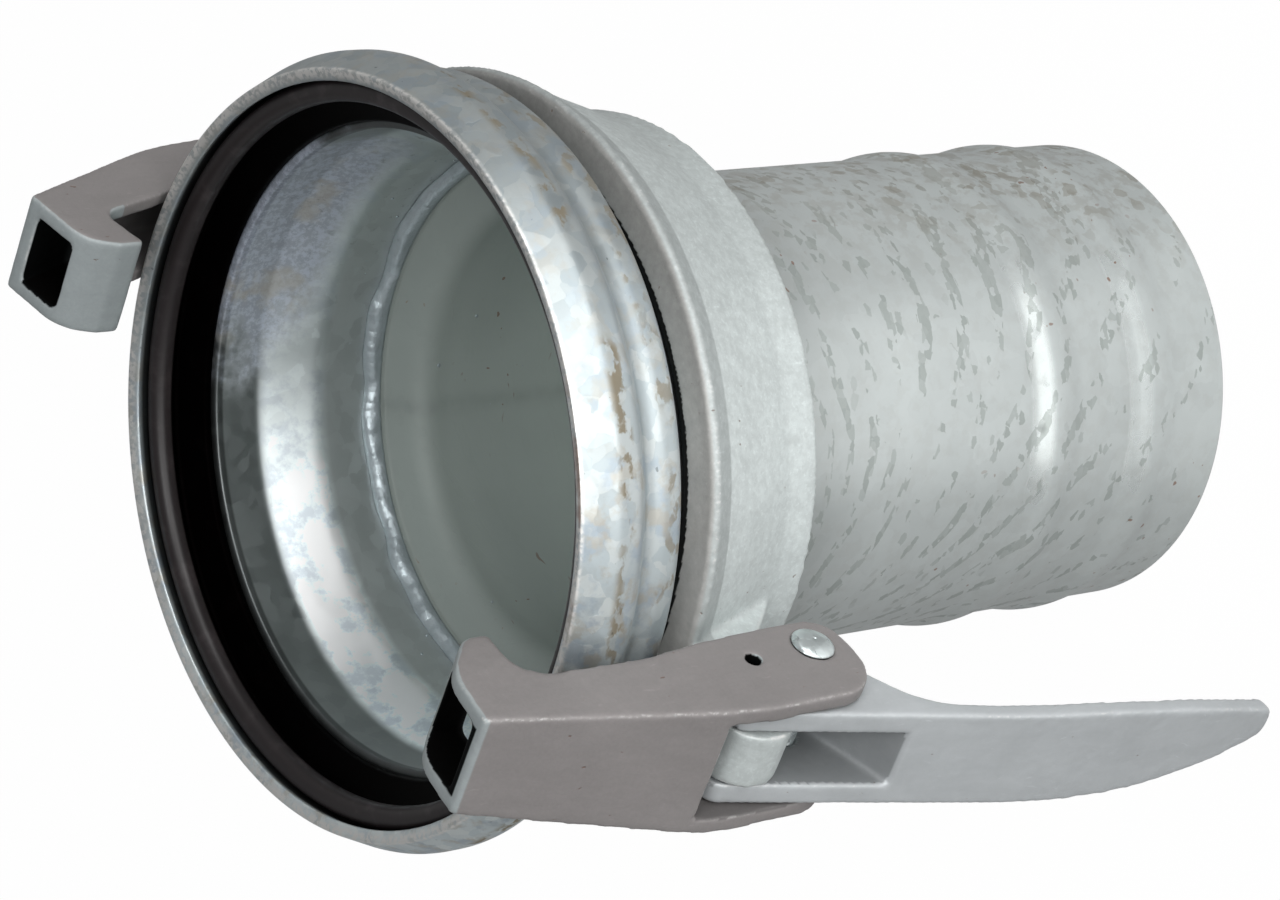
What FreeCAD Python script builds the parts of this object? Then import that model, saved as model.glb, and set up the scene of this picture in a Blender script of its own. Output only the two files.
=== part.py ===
import FreeCAD, Part
import os
import re
import Sketcher

# Female lever coupling for a four inch irrigation hose.
# It stands on the hose end: Z points to the mouth, X to the lever, and the origin is the centre
# of the hose end. Radii are measured from the axis and depths back from the mouth plane.
# All sizes are in millimetres, angles in degrees.

SIZES = [
    ("total_length", 200.0, "hose end to mouth plane"),
    ("play", 0.3, "clearance between cast faces that move on each other"),
    ("pin_play", 0.1, "radial running clearance of a hinge pin"),
    ("cut_room", 20.0, "reach of a cut beyond the solid"),
    ("hose_radius", 51.0, "outside of the hose tube"),
    ("tube_wall", 2.4, "wall of the hose tube"),
    ("tube_lap", 4.0, "how far the flared tube laps into the socket's tail"),
    ("flare_collar", 2.5, "straight front edge of the tube's flare"),
    ("flare_length", 4.0, "length of the flare behind it"),
    ("bead_height", 1.2, "rise of the two hose beads"),
    ("bead_half_length", 7.0, "half length of a hose bead"),
    ("bead_crown", 2.4, "half length of the top of a bead"),
    ("front_bead", 50.0, "front bead above the hose end"),
    ("rear_bead", 21.0, "rear bead above the hose end"),
    ("shell_sheet", 2.8, "sheet of the bell shell"),
    ("lip_step", 12.6, "how much further out the mouth lip is than the socket"),
    ("bulge_rise", 3.2, "rise of the seal chamber above the lip"),
    ("bulge_front", 7.8, "depth where the chamber reaches full size"),
    ("bulge_rear", 12.2, "depth where the chamber starts to close"),
    ("groove_drop", 1.7, "drop from the lip to the groove behind the chamber"),
    ("groove_depth", 17.4, "depth of that groove"),
    ("band_drop", 0.5, "drop from the lip to the second band"),
    ("band_front", 20.6, "depth where the second band starts"),
    ("band_rear", 24.4, "depth where the second band turns in"),
    ("band_turn", 2.0, "how far that turn reaches"),
    ("socket_sheet", 2.4, "sheet of the inner socket"),
    ("socket_step", 13.6, "how much further out the socket is than the hose tube"),
    ("socket_front", 14.2, "front edge of the socket"),
    ("socket_crease", 25.0, "depth where the socket starts to narrow"),
    ("socket_cone", 13.5, "length of its cone"),
    ("socket_taper", 4.7, "how much the socket narrows to its straight tail"),
    ("tail_length", 17.5, "length of that tail"),
    ("sheet_gap", 0.1, "gap between nested sheets and at the weld"),
    ("weld_leg", 2.4, "leg of the weld on the tube's front edge"),
    ("weld_crown", 0.4, "rise of the weld above its chord"),
    ("seal_front", 3.0, "front of the seal's bead"),
    ("seal_bead_inset", 7.0, "how far the bead's inner side lies inside the lip"),
    ("seal_bead_turn", 1.6, "how far the bead's slanted front corner reaches"),
    ("seal_recess", 7.6, "depth of the recess behind the bead"),
    ("seal_lip_step", 1.2, "how much further out the seal's lip is than the socket"),
    ("seal_lip_depth", 9.6, "front of the seal's lip"),
    ("seal_shoulder", 10.4, "depth where the seal's back turns in"),
    ("seal_heel_inset", 3.8, "how far the seal's back ends inside the lip"),
    ("seal_clear", 0.3, "gap between seal and metal"),
    ("ring_start", 8.5, "distance from the socket's crease to the ring's front face"),
    ("ring_length", 35.3, "length of the clamp ring"),
    ("ring_front_step", 11.6, "how much further out the ring's front is than the socket"),
    ("ring_face", 8.2, "width of the ring's front face"),
    ("collar_length", 6.3, "length of the ring's front collar"),
    ("collar_draft", 2.8, "how much that collar narrows"),
    ("waist_length", 8.0, "length of the ring's slender rear end"),
    ("waist_draft", 0.5, "how much that end narrows"),
    ("seat_inset", 2.2, "how deep the ring's conical seat lies behind its front face"),
    ("ring_rear_wall", 3.0, "wall of the ring at the rear"),
    ("ring_edge", 1.2, "chamfer of the ring's front edge"),
    ("pivot_rise", 16.8, "hinge pins of the two lugs"),
    ("pivot_behind", 0.5, "how far those pins lie behind the ring's front face"),
    ("lug_width", 12.2, "width of a lug"),
    ("lug_half_length", 8.5, "half length of a lug's eye"),
    ("lug_top_rise", 27.8, "top of a lug"),
    ("lug_rounding", 8.3, "rounding of a lug's top"),
    ("lug_foot_rise", 7.3, "place where a lug's flanks turn to the ring"),
    ("lug_foot_rounding", 4.0, "rounding there"),
    ("lug_root", 3.2, "how deep a lug's root lies in the ring"),
    ("lug_tail_inset", 8.0, "distance from a lug's rear rib to the ring's rear face"),
    ("pin_radius", 4.0, "hinge pins"),
    ("head_radius", 4.6, "heads of the hinge pins"),
    ("head_height", 1.5, "height of a pin's domed head"),
    ("head_crown", 0.9, "height of the slanted part of that head"),
    ("head_flat", 2.6, "radius of the head's flat top"),
    ("claw_pin_rise", 13.8, "pin between claw and lever"),
    ("claw_pin_behind", 15.6, "how far it lies behind the pin of the lug"),
    ("fork_width", 22.4, "width of the lever's fork"),
    ("fork_ahead", 8.5, "how far the lever reaches ahead of the pin of the lug"),
    ("fork_inner_rise", 7.3, "inner edge of the lever's fork"),
    ("fork_top_rounding", 3.5, "rounding of the fork's outer front corner"),
    ("fork_foot_rounding", 7.0, "rounding of the fork's inner corners"),
    ("lever_front_rise", 24.6, "outer face of the lever at its front"),
    ("lever_bend_reach", 39.5, "distance from the handle's bend to its end"),
    ("lever_bend_rise", 46.8, "place where the handle's straights meet"),
    ("lever_tip_depth", 158.0, "end of the handle"),
    ("lever_tip_rise", 42.7, "outer face at the end of the handle"),
    ("handle_plate", 4.0, "thickness of the handle"),
    ("handle_share", 0.95, "share of the handle's shorter straight that its bend takes"),
    ("side_share", 0.85, "share of the tapered sides that their bend takes"),
    ("side_bend_reach", 31.7, "distance from the bend of the sides to the handle's end"),
    ("tip_width", 6.6, "width of the handle at its end"),
    ("tip_rounding", 2.2, "rounding of the handle's end"),
    ("knee_behind", 18.3, "corner under the handle, behind the claw's pin"),
    ("knee_curve", 22.0, "curve under the handle"),
    ("heel_behind", 3.1, "inner rear corner of the fork behind the claw's pin"),
    ("slot_play", 0.3, "clearance each side of a lug"),
    ("slot_end_behind", 14.2, "end of the lever's slot at its outer face, behind the claw's pin"),
    ("slot_end_rise", 34.4, "place where that is measured"),
    ("slot_foot_behind", 7.8, "end of the slot lower down, behind the claw's pin"),
    ("slot_foot_rise", 18.8, "place where that is measured"),
    ("claw_front_width", 22.5, "width of a claw at its nose"),
    ("cheek", 3.7, "cheeks of the claws"),
    ("web", 3.6, "web of the claws"),
    ("web_end", 20.7, "depth where the webs end"),
    ("nose_bar", 3.2, "height of a claw's nose bar"),
    ("cast_rounding", 1.0, "rounding of cast corners"),
    ("full_width_depth", 24.0, "depth where the claw reaches full width"),
    ("claw_corner_rise", 15.0, "outer corner of the claw's end face"),
    ("claw_corner_ahead", 28.2, "how far it lies ahead of the mouth"),
    ("claw_bend_rise", 29.0, "bend of the claw's outer face"),
    ("claw_bend_depth", 24.0, "depth of that bend"),
    ("claw_bend_curve", 60.0, "curve of that bend"),
    ("claw_tail", 8.4, "rear end of the claw behind the claw's pin"),
    ("claw_rear_outer_rise", 28.4, "outer edge at the rear end"),
    ("claw_rear_inner_rise", 6.6, "inner edge at the rear end"),
    ("claw_rear_curve", 11.0, "curve of the outer rear corner"),
    ("claw_heel_curve", 6.0, "curve of the inner rear corner"),
    ("claw_belly_rise", 6.8, "inner edge under the pins"),
    ("claw_belly_depth", 40.0, "depth of that point"),
    ("claw_throat_rise", 8.6, "inner edge over the bell"),
    ("claw_throat_depth", 12.0, "depth of that point"),
    ("claw_throat_curve", 30.0, "curve of the inner edge"),
    ("claw_notch_rise", 6.2, "outer corner of the notch behind the claw's nose"),
    ("claw_notch_ahead", 14.1, "front of that notch"),
    ("claw_notch_curve", 7.5, "curve of the notch"),
    ("claw_nose_drop", 6.7, "tip of the claw's nose"),
    ("claw_brow_rise", 1.5, "place where the claw's end face bends"),
    ("claw_brow_ahead", 26.6, "how far it lies ahead of the mouth"),
    ("claw_brow_curve", 12.0, "curve of that bend"),
    ("claw_nose_rear_ahead", 13.4, "rear of the nose ahead of the mouth"),
    ("claw_nose_front_ahead", 19.3, "front of the nose ahead of the mouth"),
    ("lock_hole_radius", 1.6, "small hole in the claw's cheeks"),
    ("lock_hole_inset", 2.0, "that hole's distance inside the lug's pin"),
    ("hook_corner_rise", 5.1, "outer corner of the hook's end face"),
    ("hook_corner_ahead", 29.3, "how far it lies ahead of the mouth"),
    ("hook_bend_rise", 19.3, "bend of the hook's outer face"),
    ("hook_bend_depth", 6.1, "depth of that bend"),
    ("hook_bend_curve", 60.0, "curve of that bend"),
    ("hook_eye", 7.9, "half height of the hook's eye"),
    ("hook_eye_rounding", 7.0, "rounding of the eye's corners"),
    ("hook_throat_rise", 5.7, "hook's inner edge over the bell"),
    ("hook_throat_depth", 9.8, "depth of that point"),
    ("hook_throat_curve", 12.0, "curve of that edge"),
    ("hook_lip_rise", 1.8, "hook's inner edge at the lip"),
    ("hook_lip_ahead", 0.6, "how far that point lies ahead of the mouth"),
    ("hook_lip_curve", 10.0, "curve of the edge there"),
    ("hook_notch_drop", 2.9, "corner of the notch behind the hook's nose"),
    ("hook_notch_ahead", 16.0, "how far it lies ahead of the mouth"),
    ("hook_notch_curve", 3.2, "curve of that notch"),
    ("hook_nose_drop", 14.4, "tip of the hook's nose"),
    ("hook_nose_bar", 5.8, "height of the solid nose"),
    ("hook_brow_drop", 11.4, "place where the hook's end face bends"),
    ("hook_brow_ahead", 26.0, "how far it lies ahead of the mouth"),
    ("hook_brow_curve", 9.0, "curve of that bend"),
    ("hook_nose_rear_ahead", 12.4, "rear of the nose ahead of the mouth"),
    ("hook_nose_front_ahead", 18.2, "front of the nose ahead of the mouth"),
    ("hook_neck_start", 12.0, "depth where the hook's hollow narrows"),
    ("hook_neck_end", 20.0, "depth where it fits the lug"),
]

# Places that follow from the sizes. A rise or drop of the lugs, the lever and the claws is measured
# from the outside of the ring's front, ring_front_radius.
PLACES = [
    ("socket_radius", "hose_radius + socket_step", "inside of the socket's front"),
    ("socket_outer", "socket_radius + socket_sheet", "outside of the socket's front"),
    ("lip_radius", "socket_radius + lip_step", "outside of the mouth lip"),
    ("bulge_radius", "lip_radius + bulge_rise", "outside of the seal chamber"),
    ("groove_radius", "lip_radius - groove_drop", "outside of the groove behind the chamber"),
    ("band_radius", "lip_radius - band_drop", "outside of the second band"),
    ("tail_radius", "socket_radius - socket_taper", "inside of the socket's tail"),
    ("tail_outer", "tail_radius + socket_sheet", "outside of that tail"),
    ("tail_depth", "socket_crease + socket_cone", "depth where the tail starts"),
    ("back_depth", "tail_depth + tail_length", "rear end of the tail"),
    ("flange_depth", "band_rear + band_turn", "rear face of the bell"),
    ("tube_depth", "back_depth - tube_lap", "front edge of the tube"),
    ("flare_depth", "tube_depth + flare_collar", "depth where the tube's flare starts to narrow"),
    ("seal_bead_radius", "lip_radius - seal_bead_inset", "inner side of the seal's bead"),
    ("seal_lip_radius", "socket_radius + seal_lip_step", "inner edge of the seal's lip"),
    ("seal_heel_radius", "lip_radius - seal_heel_inset", "outer end of the seal's back"),
    ("ring_front", "socket_crease + ring_start", "front face of the clamp ring"),
    ("ring_front_radius", "socket_radius + ring_front_step", "outside of the ring at the front"),
    ("ring_bore_radius", "tail_outer + play", "bore of the ring on the socket's tail"),
    ("ring_rear_radius", "ring_bore_radius + ring_rear_wall", "outside of the ring at the rear"),
    ("cone_slope", "socket_taper / socket_cone", "slope of the socket's cone"),
    ("seat_depth", "ring_front + seat_inset", "front of the ring's conical seat"),
    ("seat_radius", "socket_outer - cone_slope * (seat_depth - socket_crease) + play", "radius there"),
    ("seat_end", "seat_depth + (seat_radius - ring_bore_radius) / cone_slope", "rear end of that seat"),
    ("ring_rear", "ring_front + ring_length", "rear face of the clamp ring"),
    ("lug_tail", "ring_rear - lug_tail_inset", "depth where a lug's rear rib ends"),
    ("pivot_radius", "ring_front_radius + pivot_rise", "hinge pins of the two lugs"),
    ("pivot_depth", "ring_front + pivot_behind", "depth of those pins"),
    ("claw_pin_radius", "ring_front_radius + claw_pin_rise", "pin between claw and lever"),
    ("claw_pin_depth", "pivot_depth + claw_pin_behind", "depth of that pin"),
    ("fork_front", "pivot_depth - fork_ahead", "front of the lever"),
    ("heel_depth", "claw_pin_depth + heel_behind", "inner rear corner of the fork"),
    ("knee_depth", "claw_pin_depth + knee_behind", "corner under the handle"),
    ("slot_end_depth", "claw_pin_depth + slot_end_behind", "end of the lever's slot at its outer face"),
    ("slot_foot_depth", "claw_pin_depth + slot_foot_behind", "end of the lever's slot lower down"),
    ("claw_rear_depth", "claw_pin_depth + claw_tail", "rear end of the claw"),
    ("lever_bend_depth", "lever_tip_depth - lever_bend_reach", "depth where the handle's straights meet"),
    ("side_bend_depth", "lever_tip_depth - side_bend_reach", "depth where the handle's sides bend in"),
]

doc = FreeCAD.newDocument("hose_coupling")
sheet = doc.addObject("Spreadsheet::Sheet", "Sizes")
for row, (alias, value, meaning) in enumerate(SIZES + PLACES, start=1):
    sheet.set("A%d" % row, alias)
    sheet.set("B%d" % row, "=" + value if isinstance(value, str) else str(value))
    sheet.set("C%d" % row, meaning)
    sheet.setAlias("B%d" % row, alias)
doc.recompute()


def bound(text):
    """Put the sheet's name before each word of an expression, but not before a function."""
    return re.sub(r"[a-z_]+(?![a-z_(])", r"Sizes.\g<0>", text)


def number(text):
    """The present value of an expression."""
    return float(sheet.evalExpression(bound(text)))


def bind(owner, target, text):
    owner.setExpression(target, bound(text))


def height(depth):
    """Height above the hose end of a depth behind the mouth plane."""
    return "total_length - (%s)" % depth


def profile(corners):
    """Turn (radius, depth, rounding) corners into (x, y, rounding) for an upright sketch."""
    return [(radius, height(depth), rounding) for radius, depth, rounding in corners]


def above_ring(corners):
    """The same for (rise, depth, rounding) corners, with each rise measured from the ring."""
    return profile([("ring_front_radius + " + rise, depth, rounding) for rise, depth, rounding in corners])


def draw(sketch, corners, closed=True):
    """Draw straight lines through (x, y, rounding) corners, all bound to the sheet."""
    points = [FreeCAD.Vector(number(x), number(y), 0) for x, y, rounding in corners]
    count = len(points)
    line_count = count if closed else count - 1
    lines = []
    for index in range(line_count):
        segment = Part.LineSegment(points[index], points[(index + 1) % count])
        lines.append(sketch.addGeometry(segment, False))
    for index in range(line_count if closed else line_count - 1):
        following = lines[(index + 1) % line_count]
        sketch.addConstraint(Sketcher.Constraint("Coincident", lines[index], 2, following, 1))
    for index, (x, y, rounding) in enumerate(corners):
        line, end = (lines[index], 1) if index < line_count else (lines[index - 1], 2)
        for kind, text, value in (("DistanceX", x, points[index].x), ("DistanceY", y, points[index].y)):
            place = sketch.addConstraint(Sketcher.Constraint(kind, -1, 1, line, end, value))
            bind(sketch, "Constraints[%d]" % place, text)
    for index, (x, y, rounding) in enumerate(corners):
        if rounding is None:
            continue
        sketch.fillet(lines[index], 1, number(rounding), True, True)
        arcs = [place for place in range(sketch.GeometryCount)
                if isinstance(sketch.Geometry[place], Part.ArcOfCircle)]
        place = sketch.addConstraint(Sketcher.Constraint("Radius", arcs[-1], number(rounding)))
        bind(sketch, "Constraints[%d]" % place, rounding)


def body(name):
    new_body = doc.addObject("PartDesign::Body", name)
    new_body.Label = name
    return new_body


def new_sketch(owner, name, plane="XZ_Plane"):
    """An empty sketch on one of a body's own origin planes."""
    sketch = owner.newObject("Sketcher::SketchObject", name)
    planes = [item for item in owner.Origin.OriginFeatures if item.Role == plane]
    sketch.AttachmentSupport = [(planes[0], "")]
    sketch.MapMode = "FlatFace"
    return sketch


def outline(owner, name, corners, plane="XZ_Plane"):
    sketch = new_sketch(owner, name, plane)
    draw(sketch, corners)
    return sketch


def circle(owner, name, centre_x, centre_y, radius):
    """A sketch on the upright plane with one bound circle."""
    sketch = new_sketch(owner, name)
    middle = FreeCAD.Vector(number(centre_x), number(centre_y), 0)
    ring = sketch.addGeometry(Part.Circle(middle, FreeCAD.Vector(0, 0, 1), number(radius)), False)
    for kind, text in (("DistanceX", centre_x), ("DistanceY", centre_y)):
        place = sketch.addConstraint(Sketcher.Constraint(kind, -1, 1, ring, 3, number(text)))
        bind(sketch, "Constraints[%d]" % place, text)
    place = sketch.addConstraint(Sketcher.Constraint("Radius", ring, number(radius)))
    bind(sketch, "Constraints[%d]" % place, radius)
    return sketch


def revolve(owner, sketch):
    turned = owner.newObject("PartDesign::Revolution", sketch.Name + "_turned")
    turned.Profile = sketch
    turned.ReferenceAxis = (sketch, ["V_Axis"])
    turned.Angle = 360
    return turned


def pad(owner, sketch, width):
    """Extrude a sketch evenly to both sides of its plane."""
    block = owner.newObject("PartDesign::Pad", sketch.Name + "_pad")
    block.Profile = sketch
    block.SideType = "Symmetric"
    bind(block, "Length", width)
    return block


def pocket(owner, sketch, width=None):
    """Cut a sketch evenly to both sides of its plane, and check that it took material away."""
    doc.recompute()
    before = owner.Tip.Shape.Volume
    cut = owner.newObject("PartDesign::Pocket", sketch.Name + "_cut")
    cut.Profile = sketch
    cut.SideType = "Symmetric"
    if width is None:
        cut.Type = "ThroughAll"
    else:
        bind(cut, "Length", width)
    doc.recompute()
    if cut.Shape.Volume >= before:
        raise RuntimeError(cut.Name + " cuts nothing")
    return cut


def trim(owner, name, corners, far):
    """Keep only what lies inside a plan outline, seen along X."""
    sketch = outline(owner, name, corners, "YZ_Plane")
    frame = [("-(%s)" % far, "-(%s)" % far, None), (far, "-(%s)" % far, None),
             (far, "total_length + " + far, None), ("-(%s)" % far, "total_length + " + far, None)]
    draw(sketch, frame)
    return pocket(owner, sketch)


def sheet_turned(name, corners, thickness):
    """A turned sheet: an open line, thickened to its inner side and turned about Z."""
    line = doc.addObject("Sketcher::SketchObject", name + "_line")
    line.Placement = FreeCAD.Placement(FreeCAD.Vector(), FreeCAD.Rotation(FreeCAD.Vector(1, 0, 0), 90))
    draw(line, corners, closed=False)
    section = doc.addObject("Part::Offset2D", name + "_section")
    section.Source = line
    section.Mode = "Skin"
    section.Join = "Intersection"
    section.Fill = True
    bind(section, "Value", thickness)
    turned = doc.addObject("Part::Revolution", name)
    turned.Source = section
    turned.Axis = FreeCAD.Vector(0, 0, 1)
    turned.Base = FreeCAD.Vector(0, 0, 0)
    turned.Angle = 360
    turned.Solid = True
    turned.Label = name
    doc.recompute()
    return turned


def hose_tube():
    """The tube that the hose is clamped on: two rolled beads and a front end flared to the socket."""
    corners = [("hose_radius", "0", None)]
    for bead in ("rear_bead", "front_bead"):
        for rise, offset in (("0", "- bead_half_length"), ("bead_height", "- bead_crown"),
                             ("bead_height", "+ bead_crown"), ("0", "+ bead_half_length")):
            corners.append(("hose_radius + " + rise, "%s %s" % (bead, offset), None))
    corners += profile([
        ("hose_radius", "flare_depth + flare_length", None),
        ("tail_radius - sheet_gap", "flare_depth", None),
        ("tail_radius - sheet_gap", "tube_depth", None)])
    return sheet_turned("hose_tube", corners, "tube_wall")


def bell_shell():
    """The pressed bell: lip, seal chamber, second band and the flange that sits on the socket."""
    return sheet_turned("bell_shell", profile([
        ("socket_outer + sheet_gap", "flange_depth", None),
        ("band_radius - band_turn", "flange_depth", None),
        ("band_radius", "band_rear", None),
        ("band_radius", "band_front", None),
        ("groove_radius", "groove_depth", None),
        ("bulge_radius", "bulge_rear", None),
        ("bulge_radius", "bulge_front", None),
        ("lip_radius", "0", None)]), "shell_sheet")


def inner_socket():
    """The funnel that carries the bell, centres the other half and backs the seal."""
    return sheet_turned("inner_socket", profile([
        ("tail_outer", "back_depth", None),
        ("tail_outer", "tail_depth", None),
        ("socket_outer", "socket_crease", None),
        ("socket_outer", "socket_front", None)]), "socket_sheet")


def weld_seam():
    """The fillet weld between the tube's front edge and the socket's tail."""
    piece = body("weld_seam")
    wall = "tail_radius - sheet_gap"
    foot = "tube_depth - sheet_gap"
    revolve(piece, outline(piece, "weld_section", profile([
        (wall, foot, None),
        (wall, foot + " - weld_leg", None),
        (wall + " - weld_leg / 2 - weld_crown", foot + " - weld_leg / 2 - weld_crown", None),
        (wall + " - weld_leg", foot, None)])))
    return piece


def seal_ring():
    """The rubber seal in the chamber: bead, recess and lip."""
    piece = body("seal_ring")
    chamber = "bulge_radius - shell_sheet - seal_clear"
    revolve(piece, outline(piece, "seal_section", profile([
        ("seal_bead_radius", "seal_front + seal_bead_turn", None),
        ("seal_bead_radius + seal_bead_turn", "seal_front", None),
        ("lip_radius - shell_sheet - seal_clear", "seal_front", None),
        (chamber, "bulge_front", None),
        (chamber, "seal_shoulder", None),
        ("seal_heel_radius", "socket_front - seal_clear", None),
        ("seal_lip_radius", "socket_front - seal_clear", None),
        ("seal_lip_radius", "seal_lip_depth", None),
        ("seal_bead_radius", "seal_recess", None)])))
    return piece


def clamp_ring():
    """The loose cast ring behind the bell, with a lug for the lever and one for the hook."""
    piece = body("clamp_ring")
    section = outline(piece, "ring_section", profile([
        ("ring_front_radius - ring_edge", "ring_front", None),
        ("ring_front_radius", "ring_front + ring_edge", None),
        ("ring_front_radius - collar_draft", "ring_front + collar_length", None),
        ("ring_rear_radius + waist_draft", "ring_rear - waist_length", None),
        ("ring_rear_radius", "ring_rear", None),
        ("ring_bore_radius", "ring_rear", None),
        ("ring_bore_radius", "seat_end", None),
        ("seat_radius", "seat_depth", None),
        ("ring_front_radius - ring_face", "ring_front", None)]))
    revolve(piece, section)
    rear_drop = "(ring_rear_radius - ring_front_radius)"
    lug = pad(piece, outline(piece, "lug", above_ring([
        ("-lug_root", "ring_front + lug_root / 2", None),
        ("play", "ring_front", None),
        ("lug_foot_rise", "pivot_depth - lug_half_length", "lug_foot_rounding"),
        ("lug_top_rise", "pivot_depth - lug_half_length", "lug_rounding"),
        ("lug_top_rise", "pivot_depth + lug_half_length", "lug_rounding"),
        ("lug_foot_rise", "pivot_depth + lug_half_length", "lug_foot_rounding"),
        (rear_drop + " + waist_draft / 2", "lug_tail", None),
        (rear_drop, "lug_tail - lug_root", None)])), "lug_width")
    doc.recompute()
    hole = pocket(piece, circle(piece, "lug_bore", "pivot_radius", height("pivot_depth"),
                                "pin_radius + pin_play"))
    pattern = piece.newObject("PartDesign::PolarPattern", "both_lugs")
    pattern.Originals = [lug, hole]
    pattern.Axis = (section, ["V_Axis"])
    pattern.Angle = 360
    pattern.Occurrences = 2
    piece.Tip = pattern
    return piece


def lever():
    """The over-centre lever: a fork on the lug's pin and a curved, tapering handle."""
    piece = body("lever")
    slope = "((lever_bend_rise - lever_front_rise) / (lever_bend_depth - fork_front))"
    inner_bend = "(lever_bend_rise - handle_plate)"
    tail = "(lever_bend_reach + tip_rounding)"
    fall = "(lever_bend_rise - lever_tip_rise)"
    room = "min(%s; lever_bend_depth - knee_depth - knee_curve / 2)" % tail
    curve = "handle_share * %s / tan((atan(%s) + atan(%s / %s)) / 2)" % (room, slope, fall, tail)
    pad(piece, outline(piece, "lever_side", above_ring([
        ("lever_front_rise", "fork_front", "fork_top_rounding"),
        ("lever_bend_rise", "lever_bend_depth", curve),
        ("lever_tip_rise", "lever_tip_depth + tip_rounding", None),
        ("lever_tip_rise - handle_plate", "lever_tip_depth + tip_rounding", None),
        (inner_bend, "lever_bend_depth", curve + " - handle_plate"),
        ("%s - %s * (lever_bend_depth - knee_depth)" % (inner_bend, slope), "knee_depth", "knee_curve"),
        ("fork_inner_rise", "heel_depth", "fork_foot_rounding"),
        ("fork_inner_rise", "fork_front", "fork_foot_rounding")])), "fork_width + cut_room")
    half = "fork_width / 2"
    taper = "((%s - tip_width / 2) / side_bend_reach)" % half
    bend = "side_share * side_bend_reach / tan(atan(%s) / 2)" % taper
    trim(piece, "lever_plan", [
        (half, height("fork_front - cut_room"), None),
        (half, height("side_bend_depth"), bend),
        ("tip_width / 2", height("lever_tip_depth"), "tip_rounding"),
        ("-(tip_width / 2)", height("lever_tip_depth"), "tip_rounding"),
        ("-(%s)" % half, height("side_bend_depth"), bend),
        ("-(%s)" % half, height("fork_front - cut_room"), None)], "total_length / 2")
    lean = "((slot_end_depth - slot_foot_depth) / (slot_end_rise - slot_foot_rise))"
    pocket(piece, outline(piece, "slot", above_ring([
        ("slot_end_rise + cut_room", "slot_end_depth + cut_room * " + lean, None),
        ("slot_foot_rise - cut_room", "slot_foot_depth - cut_room * " + lean, None),
        ("slot_foot_rise - cut_room", "fork_front - cut_room", None),
        ("slot_end_rise + cut_room", "fork_front - cut_room", None)])), "lug_width + 2 * slot_play")
    bore = "pin_radius + pin_play"
    pocket(piece, circle(piece, "pivot_bore", "pivot_radius", height("pivot_depth"), bore))
    pocket(piece, circle(piece, "claw_pin_bore", "claw_pin_radius", height("claw_pin_depth"), bore))
    return piece


def hollow_casting(name, side, plan, core_side, core_plan, bores):
    """A cast claw: a side outline trimmed to its plan, less a core with an outline and plan of its own."""
    solid = body(name + "_solid")
    pad(solid, outline(solid, name + "_side", above_ring(side)), "fork_width + 2 * cut_room")
    far = "total_length / 2"
    trim(solid, name + "_plan", both_sides(plan), far)
    core = body(name + "_core")
    pad(core, outline(core, name + "_core_side", above_ring(core_side)), "fork_width + 2 * cut_room")
    trim(core, name + "_core_plan", both_sides(core_plan), far)
    for index, (radius, depth, bore) in enumerate(bores):
        hole = circle(solid, "%s_bore_%d" % (name, index), radius, height(depth), bore)
        pocket(solid, hole)
    casting = doc.addObject("Part::Cut", name)
    casting.Base = solid
    casting.Tool = core
    casting.Label = name
    return casting


def both_sides(half_plan):
    """Mirror (half width, depth) points into a closed plan outline."""
    right = [(width, height(depth), None) for width, depth in half_plan]
    left = [("-(%s)" % width, level, None) for width, level, rounding in reversed(right)]
    return right + left


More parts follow.
